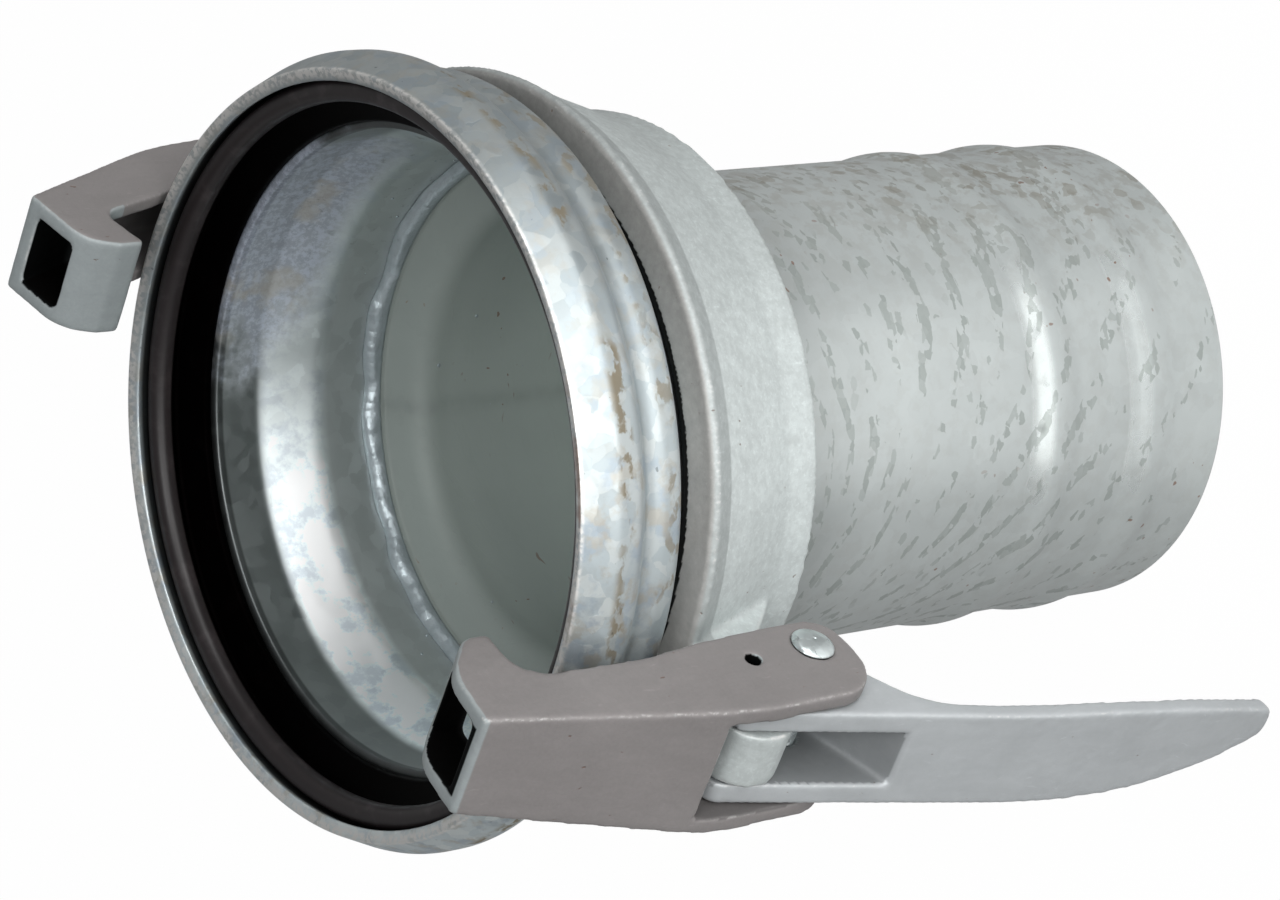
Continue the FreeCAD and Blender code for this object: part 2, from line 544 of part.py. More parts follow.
def claw():
    """The claw on the lever: slanted open end, nose bar, web and two cheeks over the fork."""
    slope = "((claw_bend_rise - claw_corner_rise) / (claw_bend_depth + claw_corner_ahead))"
    web_inner = "claw_corner_rise - web * sqrt(1 + %s ^ 2)" % slope
    side = [
        ("claw_corner_rise", "-claw_corner_ahead", "cast_rounding"),
        ("claw_bend_rise", "claw_bend_depth", "claw_bend_curve"),
        ("claw_rear_outer_rise", "claw_rear_depth", "claw_rear_curve"),
        ("claw_rear_inner_rise", "claw_rear_depth", "claw_heel_curve"),
        ("claw_belly_rise", "claw_belly_depth", "claw_throat_curve"),
        ("claw_throat_rise", "claw_throat_depth", "claw_throat_curve"),
        ("claw_notch_rise", "-claw_notch_ahead", "claw_notch_curve"),
        ("-claw_nose_drop", "-claw_nose_rear_ahead", "cast_rounding"),
        ("-claw_nose_drop", "-claw_nose_front_ahead", "cast_rounding"),
        ("claw_brow_rise", "-claw_brow_ahead", "claw_brow_curve")]
    bar_top = "-claw_nose_drop + nose_bar"
    core_side = [
        ("%s - %s * cut_room" % (web_inner, slope), "-(claw_corner_ahead + cut_room)", None),
        ("%s + %s * (claw_corner_ahead + web_end)" % (web_inner, slope), "web_end", "cast_rounding"),
        ("claw_rear_outer_rise + cut_room", "web_end", None),
        ("claw_rear_outer_rise + cut_room", "claw_rear_depth + cut_room", None),
        ("-claw_nose_drop - cut_room", "claw_rear_depth + cut_room", None),
        ("-claw_nose_drop - cut_room", "-(claw_nose_rear_ahead + play)", None),
        (bar_top, "-(claw_nose_rear_ahead + play)", "cast_rounding"),
        (bar_top, "-(claw_corner_ahead + cut_room)", None)]
    front = "claw_front_width / 2"
    rear = "fork_width / 2 + play + cheek"
    plan = [(front, "-(claw_corner_ahead + 2 * cut_room)"), (front, "-claw_corner_ahead"),
            (rear, "full_width_depth"), (rear, "claw_rear_depth + 2 * cut_room")]
    core_plan = [(width + " - cheek", depth) for width, depth in plan]
    bores = [("claw_pin_radius", "claw_pin_depth", "pin_radius + pin_play"),
             ("pivot_radius - lock_hole_inset", "pivot_depth", "lock_hole_radius")]
    return hollow_casting("claw", side, plan, core_side, core_plan, bores)


def hook():
    """The hook on the other lug, a like casting with an eye in place of the long cheeks."""
    slope = "((hook_bend_rise - hook_corner_rise) / (hook_bend_depth + hook_corner_ahead))"
    web_inner = "web * sqrt(1 + %s ^ 2)" % slope
    eye_top = "(pivot_rise + hook_eye)"
    rear = "pivot_depth + hook_eye"
    outer_slope = "((%s - hook_bend_rise) / (%s - hook_bend_depth))" % (eye_top, rear)
    side = [
        ("hook_corner_rise", "-hook_corner_ahead", "cast_rounding"),
        ("hook_bend_rise", "hook_bend_depth", "hook_bend_curve"),
        (eye_top, rear, "hook_eye_rounding"),
        ("pivot_rise - hook_eye", rear, "hook_eye_rounding"),
        ("hook_throat_rise", "hook_throat_depth", "hook_throat_curve"),
        ("hook_lip_rise", "-hook_lip_ahead", "hook_lip_curve"),
        ("-hook_notch_drop", "-hook_notch_ahead", "hook_notch_curve"),
        ("-hook_nose_drop", "-hook_nose_rear_ahead", "cast_rounding"),
        ("-hook_nose_drop", "-hook_nose_front_ahead", "cast_rounding"),
        ("-hook_brow_drop", "-hook_brow_ahead", "hook_brow_curve")]
    bar_top = "-hook_nose_drop + hook_nose_bar"
    behind_nose = "-(hook_nose_rear_ahead - play)"
    core_side = [
        ("hook_corner_rise - %s - %s * cut_room" % (web_inner, slope),
         "-(hook_corner_ahead + cut_room)", None),
        ("hook_bend_rise - " + web_inner, "hook_bend_depth", None),
        ("hook_bend_rise - %s + %s * (web_end - hook_bend_depth)" % (web_inner, outer_slope),
         "web_end", "cast_rounding"),
        (eye_top + " + cut_room", "web_end", None),
        (eye_top + " + cut_room", rear + " + cut_room", None),
        ("-hook_nose_drop - cut_room", rear + " + cut_room", None),
        ("-hook_nose_drop - cut_room", behind_nose, None),
        (bar_top, behind_nose, None),
        (bar_top, "-(hook_corner_ahead + cut_room)", None)]
    front = "claw_front_width / 2"
    plan = [(front, "-(hook_corner_ahead + 2 * cut_room)"), (front, rear + " + 2 * cut_room")]
    throat = front + " - cheek"
    neck = "lug_width / 2 + slot_play"
    core_plan = [(throat, "-(hook_corner_ahead + 2 * cut_room)"), (throat, "hook_neck_start"),
                 (neck, "hook_neck_end"), (neck, rear + " + 2 * cut_room")]
    bores = [("pivot_radius", "pivot_depth", "pin_radius + pin_play")]
    piece = hollow_casting("hook", side, plan, core_side, core_plan, bores)
    piece.Placement = FreeCAD.Placement(FreeCAD.Vector(), FreeCAD.Rotation(FreeCAD.Vector(0, 0, 1), 180))
    return piece


def pin(name, half_length, headed, place, level):
    """A hinge pin along Y, turned about its own axis and set at a bound place."""
    piece = body(name)
    if headed:
        end = "%s + head_height" % half_length
        half = [("0", end, None), ("head_flat", end, None),
                ("head_radius", end + " - head_crown", None),
                ("head_radius", half_length, None), ("pin_radius", half_length, None)]
    else:
        half = [("0", half_length, None), ("pin_radius", half_length, None)]
    mirrored = [(x, "-(%s)" % y, rounding) for x, y, rounding in reversed(half)]
    revolve(piece, outline(piece, name + "_section", half + mirrored))
    piece.Placement = FreeCAD.Placement(FreeCAD.Vector(), FreeCAD.Rotation(FreeCAD.Vector(1, 0, 0), 90))
    bind(piece, "Placement.Base.x", place)
    bind(piece, "Placement.Base.z", level)
    return piece


def build():
    """Make every piece, in the order of assembly."""
    claw_half = "fork_width / 2 + play + cheek"
    hook_half = "claw_front_width / 2"
    return [
        hose_tube(), bell_shell(), inner_socket(), weld_seam(), seal_ring(), clamp_ring(),
        lever(), claw(), hook(),
        pin("lever_pin", "fork_width / 2 - pin_play", False, "pivot_radius", height("pivot_depth")),
        pin("claw_pin", claw_half, True, "claw_pin_radius", height("claw_pin_depth")),
        pin("hook_pin", hook_half, True, "-pivot_radius", height("pivot_depth")),
    ]


pieces = build()
doc.recompute()
for item in doc.Objects:
    if "Invalid" in item.State or "Error" in item.State:
        raise RuntimeError(item.Name + " failed to rebuild")
for piece in pieces:
    if piece.Shape.isNull() or not piece.Shape.isValid() or len(piece.Shape.Solids) != 1:
        raise RuntimeError(piece.Label + " is not one valid solid")

os.makedirs("parts", exist_ok=True)
for piece in pieces:
    piece.Shape.exportStep(os.path.join("parts", piece.Label + ".step"))
    print("%-14s %9.0f mm3" % (piece.Label, piece.Shape.Volume))
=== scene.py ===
"""Looks of the female lever coupling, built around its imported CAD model.

Turned sheet pieces are profiles carried round the axis, castings are skins grown over their solids,
and every finish is made of nodes. Lengths are millimetres until a mesh is made; the camera and the
lamps are placed in metres.
"""

import bmesh
import bpy
import numpy as np
from mathutils import Matrix, Vector


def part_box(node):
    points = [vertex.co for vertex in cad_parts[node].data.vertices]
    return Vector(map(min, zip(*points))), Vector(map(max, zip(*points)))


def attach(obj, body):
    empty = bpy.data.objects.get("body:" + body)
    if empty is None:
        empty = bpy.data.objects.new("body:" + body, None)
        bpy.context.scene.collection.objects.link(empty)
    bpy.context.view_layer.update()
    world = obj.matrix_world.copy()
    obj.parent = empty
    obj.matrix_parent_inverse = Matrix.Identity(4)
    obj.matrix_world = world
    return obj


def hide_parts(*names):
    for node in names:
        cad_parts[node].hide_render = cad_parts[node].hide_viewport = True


bl_info = {
    "name": "Hose coupling dresser",
    "version": (1, 0, 0),
    "blender": (4, 5, 0),
    "location": "View3D > Sidebar > Coupling",
    "description": "Builds the visible pieces and finishes of a female hose coupling",
    "category": "Object",
}

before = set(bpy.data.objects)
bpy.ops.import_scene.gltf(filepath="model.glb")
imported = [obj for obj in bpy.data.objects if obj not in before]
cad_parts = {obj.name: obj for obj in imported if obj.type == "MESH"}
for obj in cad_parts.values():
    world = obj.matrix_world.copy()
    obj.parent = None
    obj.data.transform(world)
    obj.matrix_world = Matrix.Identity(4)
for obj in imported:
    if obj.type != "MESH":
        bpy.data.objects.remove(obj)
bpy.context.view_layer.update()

MM = 0.001

# Heights count from the hose end, depths from the mouth backwards
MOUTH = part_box("bell_shell")[1].z / MM
TUBE_RADIUS = 51.0
SOCKET_RADIUS = 62.0
BELL_RADIUS = 80.0
BEAD_CRESTS = (21.0, 50.0)
BEAD_HALF = 6.8

# The lower end of the lever's slot, and the hole in the claw's cheeks as x, height and radius
SLOT_END = 105.0
LOCK_HOLE = (91.0, 166.0, 1.75)

# Steps round the axis, and the height of a slice in which a casting is measured
ROUND_STEPS = 420
TUBE_STEPS = 360
SLICE = 2.0

# The camera that was fitted to the photo's circles: its place, its three axes and its lens
CAMERA_PLACE = (0.5379, 0.4531, 0.6860)
CAMERA_RIGHT = (0.5534, 0.3062, -0.7746)
CAMERA_UP = (-0.5849, 0.8050, -0.0997)
CAMERA_BACK = (0.5931, 0.5082, 0.6245)
CAMERA_LENS = 121.1
CAMERA_SENSOR = 36.0

# The socket's dirty side, and the side that the lamps light
GRIME_SIDE = (-0.97, 0.24, 0.0)
BRIGHT_SIDE = (0.788, 0.616, 0.0)


# Sizes and colours that a user may change

def length(value, description):
    """A length property whose default is given in millimetres."""
    return bpy.props.FloatProperty(name=description.capitalize(), description=description,
                                   default=value * MM, min=0.0, unit="LENGTH", precision=5)


def colour(red, green, blue, description):
    """A colour property whose default is given as the 0 to 255 values seen on a screen."""
    return bpy.props.FloatVectorProperty(name=description.capitalize(), description=description,
                                         default=screen(red, green, blue), size=3, min=0.0, max=1.0,
                                         subtype="COLOR")


def screen(red, green, blue):
    """Linear colour of a screen colour: ((c + 0.055) / 1.055) ** 2.4."""
    shares = np.array((red, green, blue)) / 255
    return tuple(float(share) for share in ((shares + 0.055) / 1.055) ** 2.4)


class CouplingShapes(bpy.types.PropertyGroup):
    tube_wall: length(2.4, "wall of the hose tube")
    bead_rise: length(1.2, "rise of a hose bead")
    shell_sheet: length(2.8, "sheet of the bell")
    socket_sheet: length(2.4, "sheet of the inner socket")
    edge_round: length(0.55, "rounding of sheet edges")
    pressing_wave: length(0.09, "unevenness of the pressed sheet")
    ripple: length(0.08, "height of the weld's ripples")
    cast_skin: length(0.5, "grid of the cast skins")
    cast_wave: length(0.05, "unevenness of the castings")


class CouplingColours(bpy.types.PropertyGroup):
    zinc: colour(191, 197, 196, "plain zinc on the tube")
    zinc_flake: colour(142, 149, 145, "dull flakes in the zinc")
    flake_high: colour(155, 153, 146, "dull brownish flakes on the tube's top")
    zinc_pale: colour(200, 207, 207, "pale zinc crystals")
    zinc_blue: colour(184, 194, 197, "bluish zinc crystals")
    zinc_cloud: colour(164, 173, 188, "bluish clouds in the socket")
    zinc_inside: colour(170, 180, 175, "zinc inside the tube")
    stain: colour(150, 140, 120, "beige stains in the zinc")
    grime_blue: colour(150, 163, 175, "bluish dirt on the bell")
    grime_brown: colour(166, 160, 148, "brownish dirt on the bell")
    rust: colour(122, 78, 50, "rust specks")
    ring: colour(197, 204, 203, "zinc on the cast ring")
    ring_face: colour(168, 167, 164, "dull front face of the ring")
    lever: colour(178, 182, 184, "zinc on the lever")
    claw: colour(131, 127, 126, "bare casting of the claws")
    # Lighter bluish tone of faces that look towards the mouth: zinc on the end faces, and partly painted
    # light
    claw_end_zinc_and_light: colour(150, 157, 158, "zinc on the claws' end faces")
    worn_edge: colour(214, 213, 210, "worn edges of the castings")
    rubber: colour(30, 24, 25, "rubber of the seal")
    weld: colour(172, 182, 186, "weld metal")
    pin: colour(206, 214, 214, "zinc plating of the pins")


# Shader nodes written as sums

class Value:
    """A number socket; an operator adds the Math node that it stands for."""

    def __init__(self, nodes, socket):
        self.nodes = nodes
        self.socket = socket

    def __add__(self, other):
        return self.nodes.math("ADD", self, other)

    __radd__ = __add__

    def __sub__(self, other):
        return self.nodes.math("SUBTRACT", self, other)

    def __rsub__(self, other):
        return self.nodes.math("SUBTRACT", other, self)

    def __mul__(self, other):
        return self.nodes.math("MULTIPLY", self, other)

    __rmul__ = __mul__

    def __truediv__(self, other):
        return self.nodes.math("DIVIDE", self, other)

    def above(self, low, high):
        """0 below low, 1 above high, with a smooth step between; low may be the larger one."""
        return self.nodes.node("ShaderNodeMapRange", {"interpolation_type": "SMOOTHSTEP"},
                               {"Value": self, "From Min": low, "From Max": high})

    def part(self, name):
        """One part of a colour or vector: Red, Green, Blue or X, Y, Z."""
        kind = "ShaderNodeSeparateXYZ" if name in "XYZ" else "ShaderNodeSeparateColor"
        return self.nodes.node(kind, {}, {0: self}, name)


class Nodes:
    """A node tree. One method adds every node: its settings first, then its sockets."""

    def __init__(self, tree):
        self.tree = tree
        tree.nodes.clear()

    def node(self, kind, settings, values, output=0):
        made = self.tree.nodes.new(kind)
        for name, setting in settings.items():
            if name == "stops":
                self.fill_ramp(made.color_ramp, setting)
            else:
                setattr(made, name, setting)
        for name, value in values.items():
            if isinstance(value, Value):
                self.tree.links.new(value.socket, made.inputs[name])
            else:
                made.inputs[name].default_value = value
        return Value(self, made.outputs[output]) if made.outputs else None

    def fill_ramp(self, ramp, stops):
        while len(ramp.elements) < len(stops):
            ramp.elements.new(0.5)
        for element, (position, shade) in zip(ramp.elements, stops):
            element.position = position
            element.color = (*shade, 1.0)

    def math(self, operation, *terms):
        return self.node("ShaderNodeMath", {"operation": operation}, dict(enumerate(terms)))

    def vector(self, operation, *terms, **named):
        values = dict(enumerate(terms)) | named
        output = "Value" if operation in ("LENGTH", "DOT_PRODUCT") else "Vector"
        return self.node("ShaderNodeVectorMath", {"operation": operation}, values, output)


class Finish(Nodes):
    """A node material. Patterns read object coordinates, turned to millimetres."""

    def __init__(self, name):
        self.material = bpy.data.materials.new(name)
        self.material.use_nodes = True
        super().__init__(self.material.node_tree)
        place = self.node("ShaderNodeTexCoord", {}, {}, "Object")
        self.place = self.vector("SCALE", place, Scale=1 / MM)

    def along(self, direction, reach):
        """How far a place lies in a direction from the origin, as a share of the reach."""
        return self.vector("DOT_PRODUCT", self.place, direction) / reach

    def stretched(self, place, scale):
        """A place scaled by three shares, so that a pattern on it is drawn out where they are small."""
        return self.vector("MULTIPLY", place, scale)

    def attribute(self, name, output="Fac"):
        return self.node("ShaderNodeAttribute", {"attribute_name": name}, {}, output)

    def noise(self, size, place=None, detail=2.0, roughness=0.5, output="Fac"):
        """Soft noise whose lumps are about size millimetres apart."""
        return self.node("ShaderNodeTexNoise", {},
                         {"Vector": place or self.place, "Scale": 1 / size, "Detail": detail,
                          "Roughness": roughness}, output)

    def cells(self, size, place):
        """Crystals about size millimetres wide, one random colour each."""
        return self.node("ShaderNodeTexVoronoi", {}, {"Vector": place, "Scale": 1 / size}, "Color")

    def shaken(self, place, size, reach, detail=2.0):
        """A place moved by noise of the given size, by up to about reach."""
        push = self.noise(size, place, detail, output="Color")
        centred = self.vector("SUBTRACT", push, (0.5, 0.5, 0.5))
        return self.vector("ADD", place, self.vector("SCALE", centred, Scale=2 * reach))

    def blend(self, share, first, second, mode="MIX"):
        """Colour that goes from first to second as share goes from 0 to 1.

        In the Mix node, inputs 6 and 7 and output 2 are the colours.
        """
        pair = [value if isinstance(value, Value) else (*value[:3], 1.0) for value in (first, second)]
        return self.node("ShaderNodeMix", {"data_type": "RGBA", "blend_type": mode},
                         {0: share, 6: pair[0], 7: pair[1]}, 2)

    def shade(self, base, factor):
        """A colour made darker or brighter by a number."""
        grey = self.node("ShaderNodeCombineColor", {}, {0: factor, 1: factor, 2: factor})
        return self.blend(1.0, base, grey, "MULTIPLY")

    def bump(self, height, strength):
        """A normal from a height in millimetres."""
        return self.node("ShaderNodeBump", {}, {"Height": height, "Distance": MM, "Strength": strength},
                         "Normal")

    def surface(self, **sockets):
        """The Principled shader with its sockets, and the material."""
        values = {name.replace("_", " ").title().replace("Ior", "IOR"): value
                  for name, value in sockets.items()}
        shader = self.node("ShaderNodeBsdfPrincipled", {}, values)
        self.node("ShaderNodeOutputMaterial", {}, {"Surface": shader})
        return self.material


# Outlines and surfaces

def unit(vectors):
    """The vectors, each divided by its length."""
    return vectors / np.linalg.norm(vectors, axis=-1, keepdims=True)


def rounded(corners, closed=False, pitch=0.4):
    """A line through (radius, height, rounding) corners.

    An arc of radius r touches both sides of its corner at r / tan(h), where h is half the inner
    angle, and its points are its two end spokes mixed by sin((1 - t) a) and sin(t a) over sin(a).
    """
    spots = np.array([corner[:2] for corner in corners], float)
    count = len(spots)
    runs = []
    for index, (spot, rounding) in enumerate(zip(spots, (corner[2] for corner in corners))):
        at_end = index in (0, count - 1) and not closed
        if at_end or rounding == 0:
            runs.append(spot[None])
            continue
        back = unit(spots[index - 1] - spot)
        ahead = unit(spots[(index + 1) % count] - spot)
        half = np.arccos(np.clip(back @ ahead, -1, 1)) / 2
        centre = spot + unit(back + ahead) * rounding / np.sin(half)
        spokes = [spot + side * rounding / np.tan(half) - centre for side in (back, ahead)]
        turn = np.pi - 2 * half
        share = np.linspace(0, 1, max(4, int(turn * rounding / pitch) + 2))[:, None]
        arc = np.sin((1 - share) * turn) * spokes[0] + np.sin(share * turn) * spokes[1]
        runs.append(centre + arc / np.sin(turn))
    return np.concatenate(runs)


def spread(line, pitch):
    """The same line with points at an even pitch along it."""
    steps = np.linalg.norm(np.diff(line, axis=0), axis=1)
    along = np.concatenate(([0], np.cumsum(steps)))
    even = np.linspace(0, along[-1], int(along[-1] / pitch) + 1)
    return np.stack([np.interp(even, along, line[:, axis]) for axis in (0, 1)], axis=1)


def outward(line):
    """Unit normals of a line that runs from rear to mouth: (rise, -run) of its direction."""
    direction = unit(np.gradient(line, axis=0))
    return np.stack([direction[:, 1], -direction[:, 0]], axis=1)


def sheet_section(line, thickness, edge):
    """Closed section of a sheet, and 0 on its outer and 1 on its inner points.

    The inner side is the line moved inwards by the thickness. Each end is a squared half round:
    cos and sin to a power below 1 across the thickness and along the line.
    """
    squared = 0.6
    normals = outward(line)
    inner = line - normals * thickness
    half = np.linspace(0, np.pi, 9)[1:-1, None]
    across = np.sign(np.cos(half)) * np.abs(np.cos(half)) ** squared
    along = np.sin(half) ** squared * edge
    caps = []
    for end, sign in ((-1, 1), (0, -1)):
        forward = np.array((-normals[end][1], normals[end][0])) * sign
        middle = (line[end] + inner[end]) / 2
        caps.append(middle + normals[end] * across * sign * thickness / 2 + forward * along)
    section = np.concatenate((line, caps[0], inner[::-1], caps[1]))
    inside = np.concatenate((np.zeros(len(line)), np.full(len(half), 0.5),
                             np.ones(len(line)), np.full(len(half), 0.5)))
    return section, inside


def waves(angle, height, seed, count=9, highest=7):
    """Soft unevenness, about -1 to 1: a sum of cosines of whole turns and of height."""
    draw = np.random.default_rng(seed)
    total = np.zeros(np.broadcast(angle, height).shape)
    for turns, tilt, phase in zip(draw.integers(1, highest, count), draw.uniform(-0.06, 0.06, count),
                                  draw.uniform(0, 2 * np.pi, count)):
        total += np.cos(turns * angle + tilt * height + phase)
    return total / np.sqrt(count)


def make_object(name, points, faces, material, body, slot_name, **attributes):
    """A mesh object at the origin from points in millimetres, riding on its body."""
    mesh = bpy.data.meshes.new(name)
    mesh.from_pydata(points * MM, [], faces)
    mesh.validate()
    for key, values in attributes.items():
        kind = "FLOAT_VECTOR" if values.ndim == 2 else "FLOAT"
        layer = mesh.attributes.new(key, kind, "POINT")
        layer.data.foreach_set("vector" if values.ndim == 2 else "value",
                               np.ascontiguousarray(values, np.float32).ravel())
    mesh.polygons.foreach_set("use_smooth", np.ones(len(mesh.polygons), bool))
    mesh.materials.append(material)
    piece = bpy.data.objects.new(name, mesh)
    bpy.context.scene.collection.objects.link(piece)
    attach(piece, body)
    return piece


def grid_faces(rows, columns, open_columns=False):
    """Quads of a grid that closes both ways, or from row to row only: each point with its next ones."""
    row, column = np.meshgrid(np.arange(rows), np.arange(columns - open_columns), indexing="ij")
    next_row, next_column = (row + 1) % rows, (column + 1) % columns
    return np.stack([row * columns + column, next_row * columns + column,
                     next_row * columns + next_column, row * columns + next_column],
                    axis=-1).reshape(-1, 4)


def stacked(x, y, z):
    """Three arrays, or numbers, as one array of points."""
    return np.stack(np.broadcast_arrays(x, y, z), axis=-1)


def whole_turn(steps):
    """A column of angles that go once round."""
    return np.linspace(-np.pi, np.pi, steps, endpoint=False)[:, None]


def turned(section, steps, reshape=None):
    """Points and quads of a closed (radius, height) section carried round the axis.

    x = r cos a, y = r sin a, z = height; reshape(radius, height, angle) may change the radius.
    The section runs up its outer side, so the quads face outwards.
    """
    angle = whole_turn(steps)
    radius, level = section[None, :, 0], section[None, :, 1]
    if reshape:
        radius = reshape(radius, level, angle)
    points = stacked(radius * np.cos(angle), radius * np.sin(angle), level)
    return points.reshape(-1, 3), grid_faces(steps, len(section))


def at_depth(corners):
    """Turn (radius, depth behind the mouth, rounding) into (radius, height, rounding)."""
    return [(radius, MOUTH - depth, rounding) for radius, depth, rounding in corners]


def looks():
    """The colours that the user has set."""
    return bpy.context.scene.coupling_colours


def shapes():
    """The sizes that the user has set."""
    return bpy.context.scene.coupling_shapes


def millimetres(name):
    """One of those sizes, in millimetres."""
    return getattr(shapes(), name) / MM


# Pieces

# Outer lines of the sheets, from rear to mouth
TUBE_LINE = [(TUBE_RADIUS, 0.55, 0), *at_depth([(TUBE_RADIUS, 58.5, 3.0), (59.8, 54.5, 3.0),
                                                (59.8, 52.55, 0)])]
SOCKET_LINE = at_depth([(62.3, 55.5, 0), (62.3, 38.5, 14.0), (67.0, 25.0, 5.0), (67.0, 14.75, 0)])
BELL_LINE = at_depth([(67.6, 26.35, 0), (76.65, 26.35, 3.0), (76.65, 21.3, 3.0), (75.3, 17.4, 2.8),
                      (80.35, 12.4, 3.6), (80.35, 7.6, 3.6), (77.25, 0.55, 0)])


def build_tube():
    """The hose tube: a flared sheet with two beads and a seam inside.

    A bead adds its rise times cos t to the power 1.4, where t goes through half a turn between its
    two feet. The seam and the waves near the beads fade as exp(-d d) of the distance d.
    """
    line = spread(rounded(TUBE_LINE), 1.2)
    for crest in BEAD_CRESTS:
        swing = np.clip((line[:, 1] - crest) / BEAD_HALF, -1, 1) * np.pi / 2
        line[:, 0] += millimetres("bead_rise") * np.cos(swing) ** 1.4
    section, inside = sheet_section(line, millimetres("tube_wall"), millimetres("edge_round"))
    seam_angle, seam_width, seam_rise = -2.62, 0.02, 0.12
    bead_reach, proudest = 9.0, 0.05

    def uneven(radius, level, angle):
        beads = sum(np.exp(-((level - crest) / bead_reach) ** 2) for crest in BEAD_CRESTS)
        wave = millimetres("pressing_wave") * waves(angle, level, seed=3) * (0.35 + beads)
        seam = seam_rise * np.exp(-((angle - seam_angle) / seam_width) ** 2) * inside[None, :]
        return radius + np.minimum(wave, proudest) - seam

    points, faces = turned(section, TUBE_STEPS, uneven)
    angle = np.arctan2(points[:, 1], points[:, 0])
    seam = np.exp(-((angle - seam_angle) / (2 * seam_width)) ** 2)
    tube = make_object("tube", points, faces, tube_finish(), "coupling", "galvanised_tube",
                       inside=np.tile(inside, TUBE_STEPS), seam=seam,
                       flow=drip_flow(angle, points[:, 2]))
    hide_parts("hose_tube")


def drip_flow(angle, level):
    """Place along and across the streams in which the zinc ran off, in millimetres.

    On the unrolled tube the streams are spirals round a drain point: the way there is
    r = hypot(x, y), and a stream keeps v = atan2(y, x) - curl ln(r / start).
    """
    drain_angle, drain_level, curl = -0.72, 136.0, 0.42
    start, breadth = 60.0, 75.0
    swing = (angle - drain_angle + np.pi) % (2 * np.pi) - np.pi
    around = TUBE_RADIUS * swing
    back = drain_level - level
    reach = np.hypot(around, back) + 1.0
    turn = np.arctan2(around, back) - np.sign(around) * curl * np.log(reach / start)
    return stacked(reach, turn * breadth, 0.0)


def build_bell():
    """The pressed bell and the socket nested in it, both turned from their sheet sections."""
    edge = millimetres("edge_round")
    socket_wave = 0.03
    for name, node, corners, sheet, wave, seed, finish in (
            ("bell", "bell_shell", BELL_LINE, "shell_sheet", millimetres("pressing_wave"), 11,
             bell_finish),
            ("socket", "inner_socket", SOCKET_LINE, "socket_sheet", socket_wave, 12, socket_finish)):
        line = spread(rounded(corners), 0.7)
        section, inside = sheet_section(line, millimetres(sheet), edge)

        def uneven(radius, level, angle):
            return radius - wave * (0.5 + 0.5 * waves(angle, level, seed, highest=11))

        points, faces = turned(section, ROUND_STEPS, uneven)
        piece = make_object(name, points, faces, finish(), "coupling", "galvanised_sheet",
                            inside=np.tile(inside, ROUND_STEPS))
        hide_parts(node)


def build_weld():
    """The weld on the tube's front edge: a crowned face that lumps and ripples as its pool froze.

    The face goes from the socket's wall to the tube's edge with a crown of 4 s (1 - s) times its
    height. The ripple is |sin| of the way round, bent into a chevron by the square of the distance
    from the face's middle.
    """
    steps, rows = 1400, 13
    wall_radius, edge_radius, toe_depth, edge_depth = 59.75, 57.3, 48.7, 51.85
    crown_rise, lump_rise, ripples = 0.85, 0.17, 80
    angle = whole_turn(steps)
    share = np.linspace(0, 1, rows)[None, :]
    width = 1 + 0.16 * waves(angle, 0 * angle, seed=21, count=14, highest=34)
    root = np.array((wall_radius, MOUTH - edge_depth))
    toe = np.array((wall_radius, MOUTH - toe_depth))
    edge = np.array((edge_radius, MOUTH - edge_depth))
    start = root + (toe - root) * width[..., None]
    lean = unit(np.array((-1.0, 1.0)))
    crown = crown_rise * width * 4 * share * (1 - share)
    chevron = angle + 0.015 * (2 * share - 1) ** 2
    across = np.sin(np.pi * share)
    ripple = millimetres("ripple") * np.abs(np.sin(ripples * chevron)) * across ** 0.5
    lumpy = lump_rise * waves(angle, 40 * share, seed=22, count=16, highest=70) * across
    rise = crown + ripple + lumpy
    face = start + (edge - start) * share[..., None] + lean * rise[..., None]
    section = np.concatenate((face, np.broadcast_to(root, start.shape)), axis=1)
    radius, level = section[..., 0], section[..., 1]
    points = stacked(radius * np.cos(angle), radius * np.sin(angle), level).reshape(-1, 3)
    faces = grid_faces(steps, rows + 1)
    weld = make_object("weld", points, faces, weld_finish(), "coupling", "weld_metal")
    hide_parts("weld_seam")


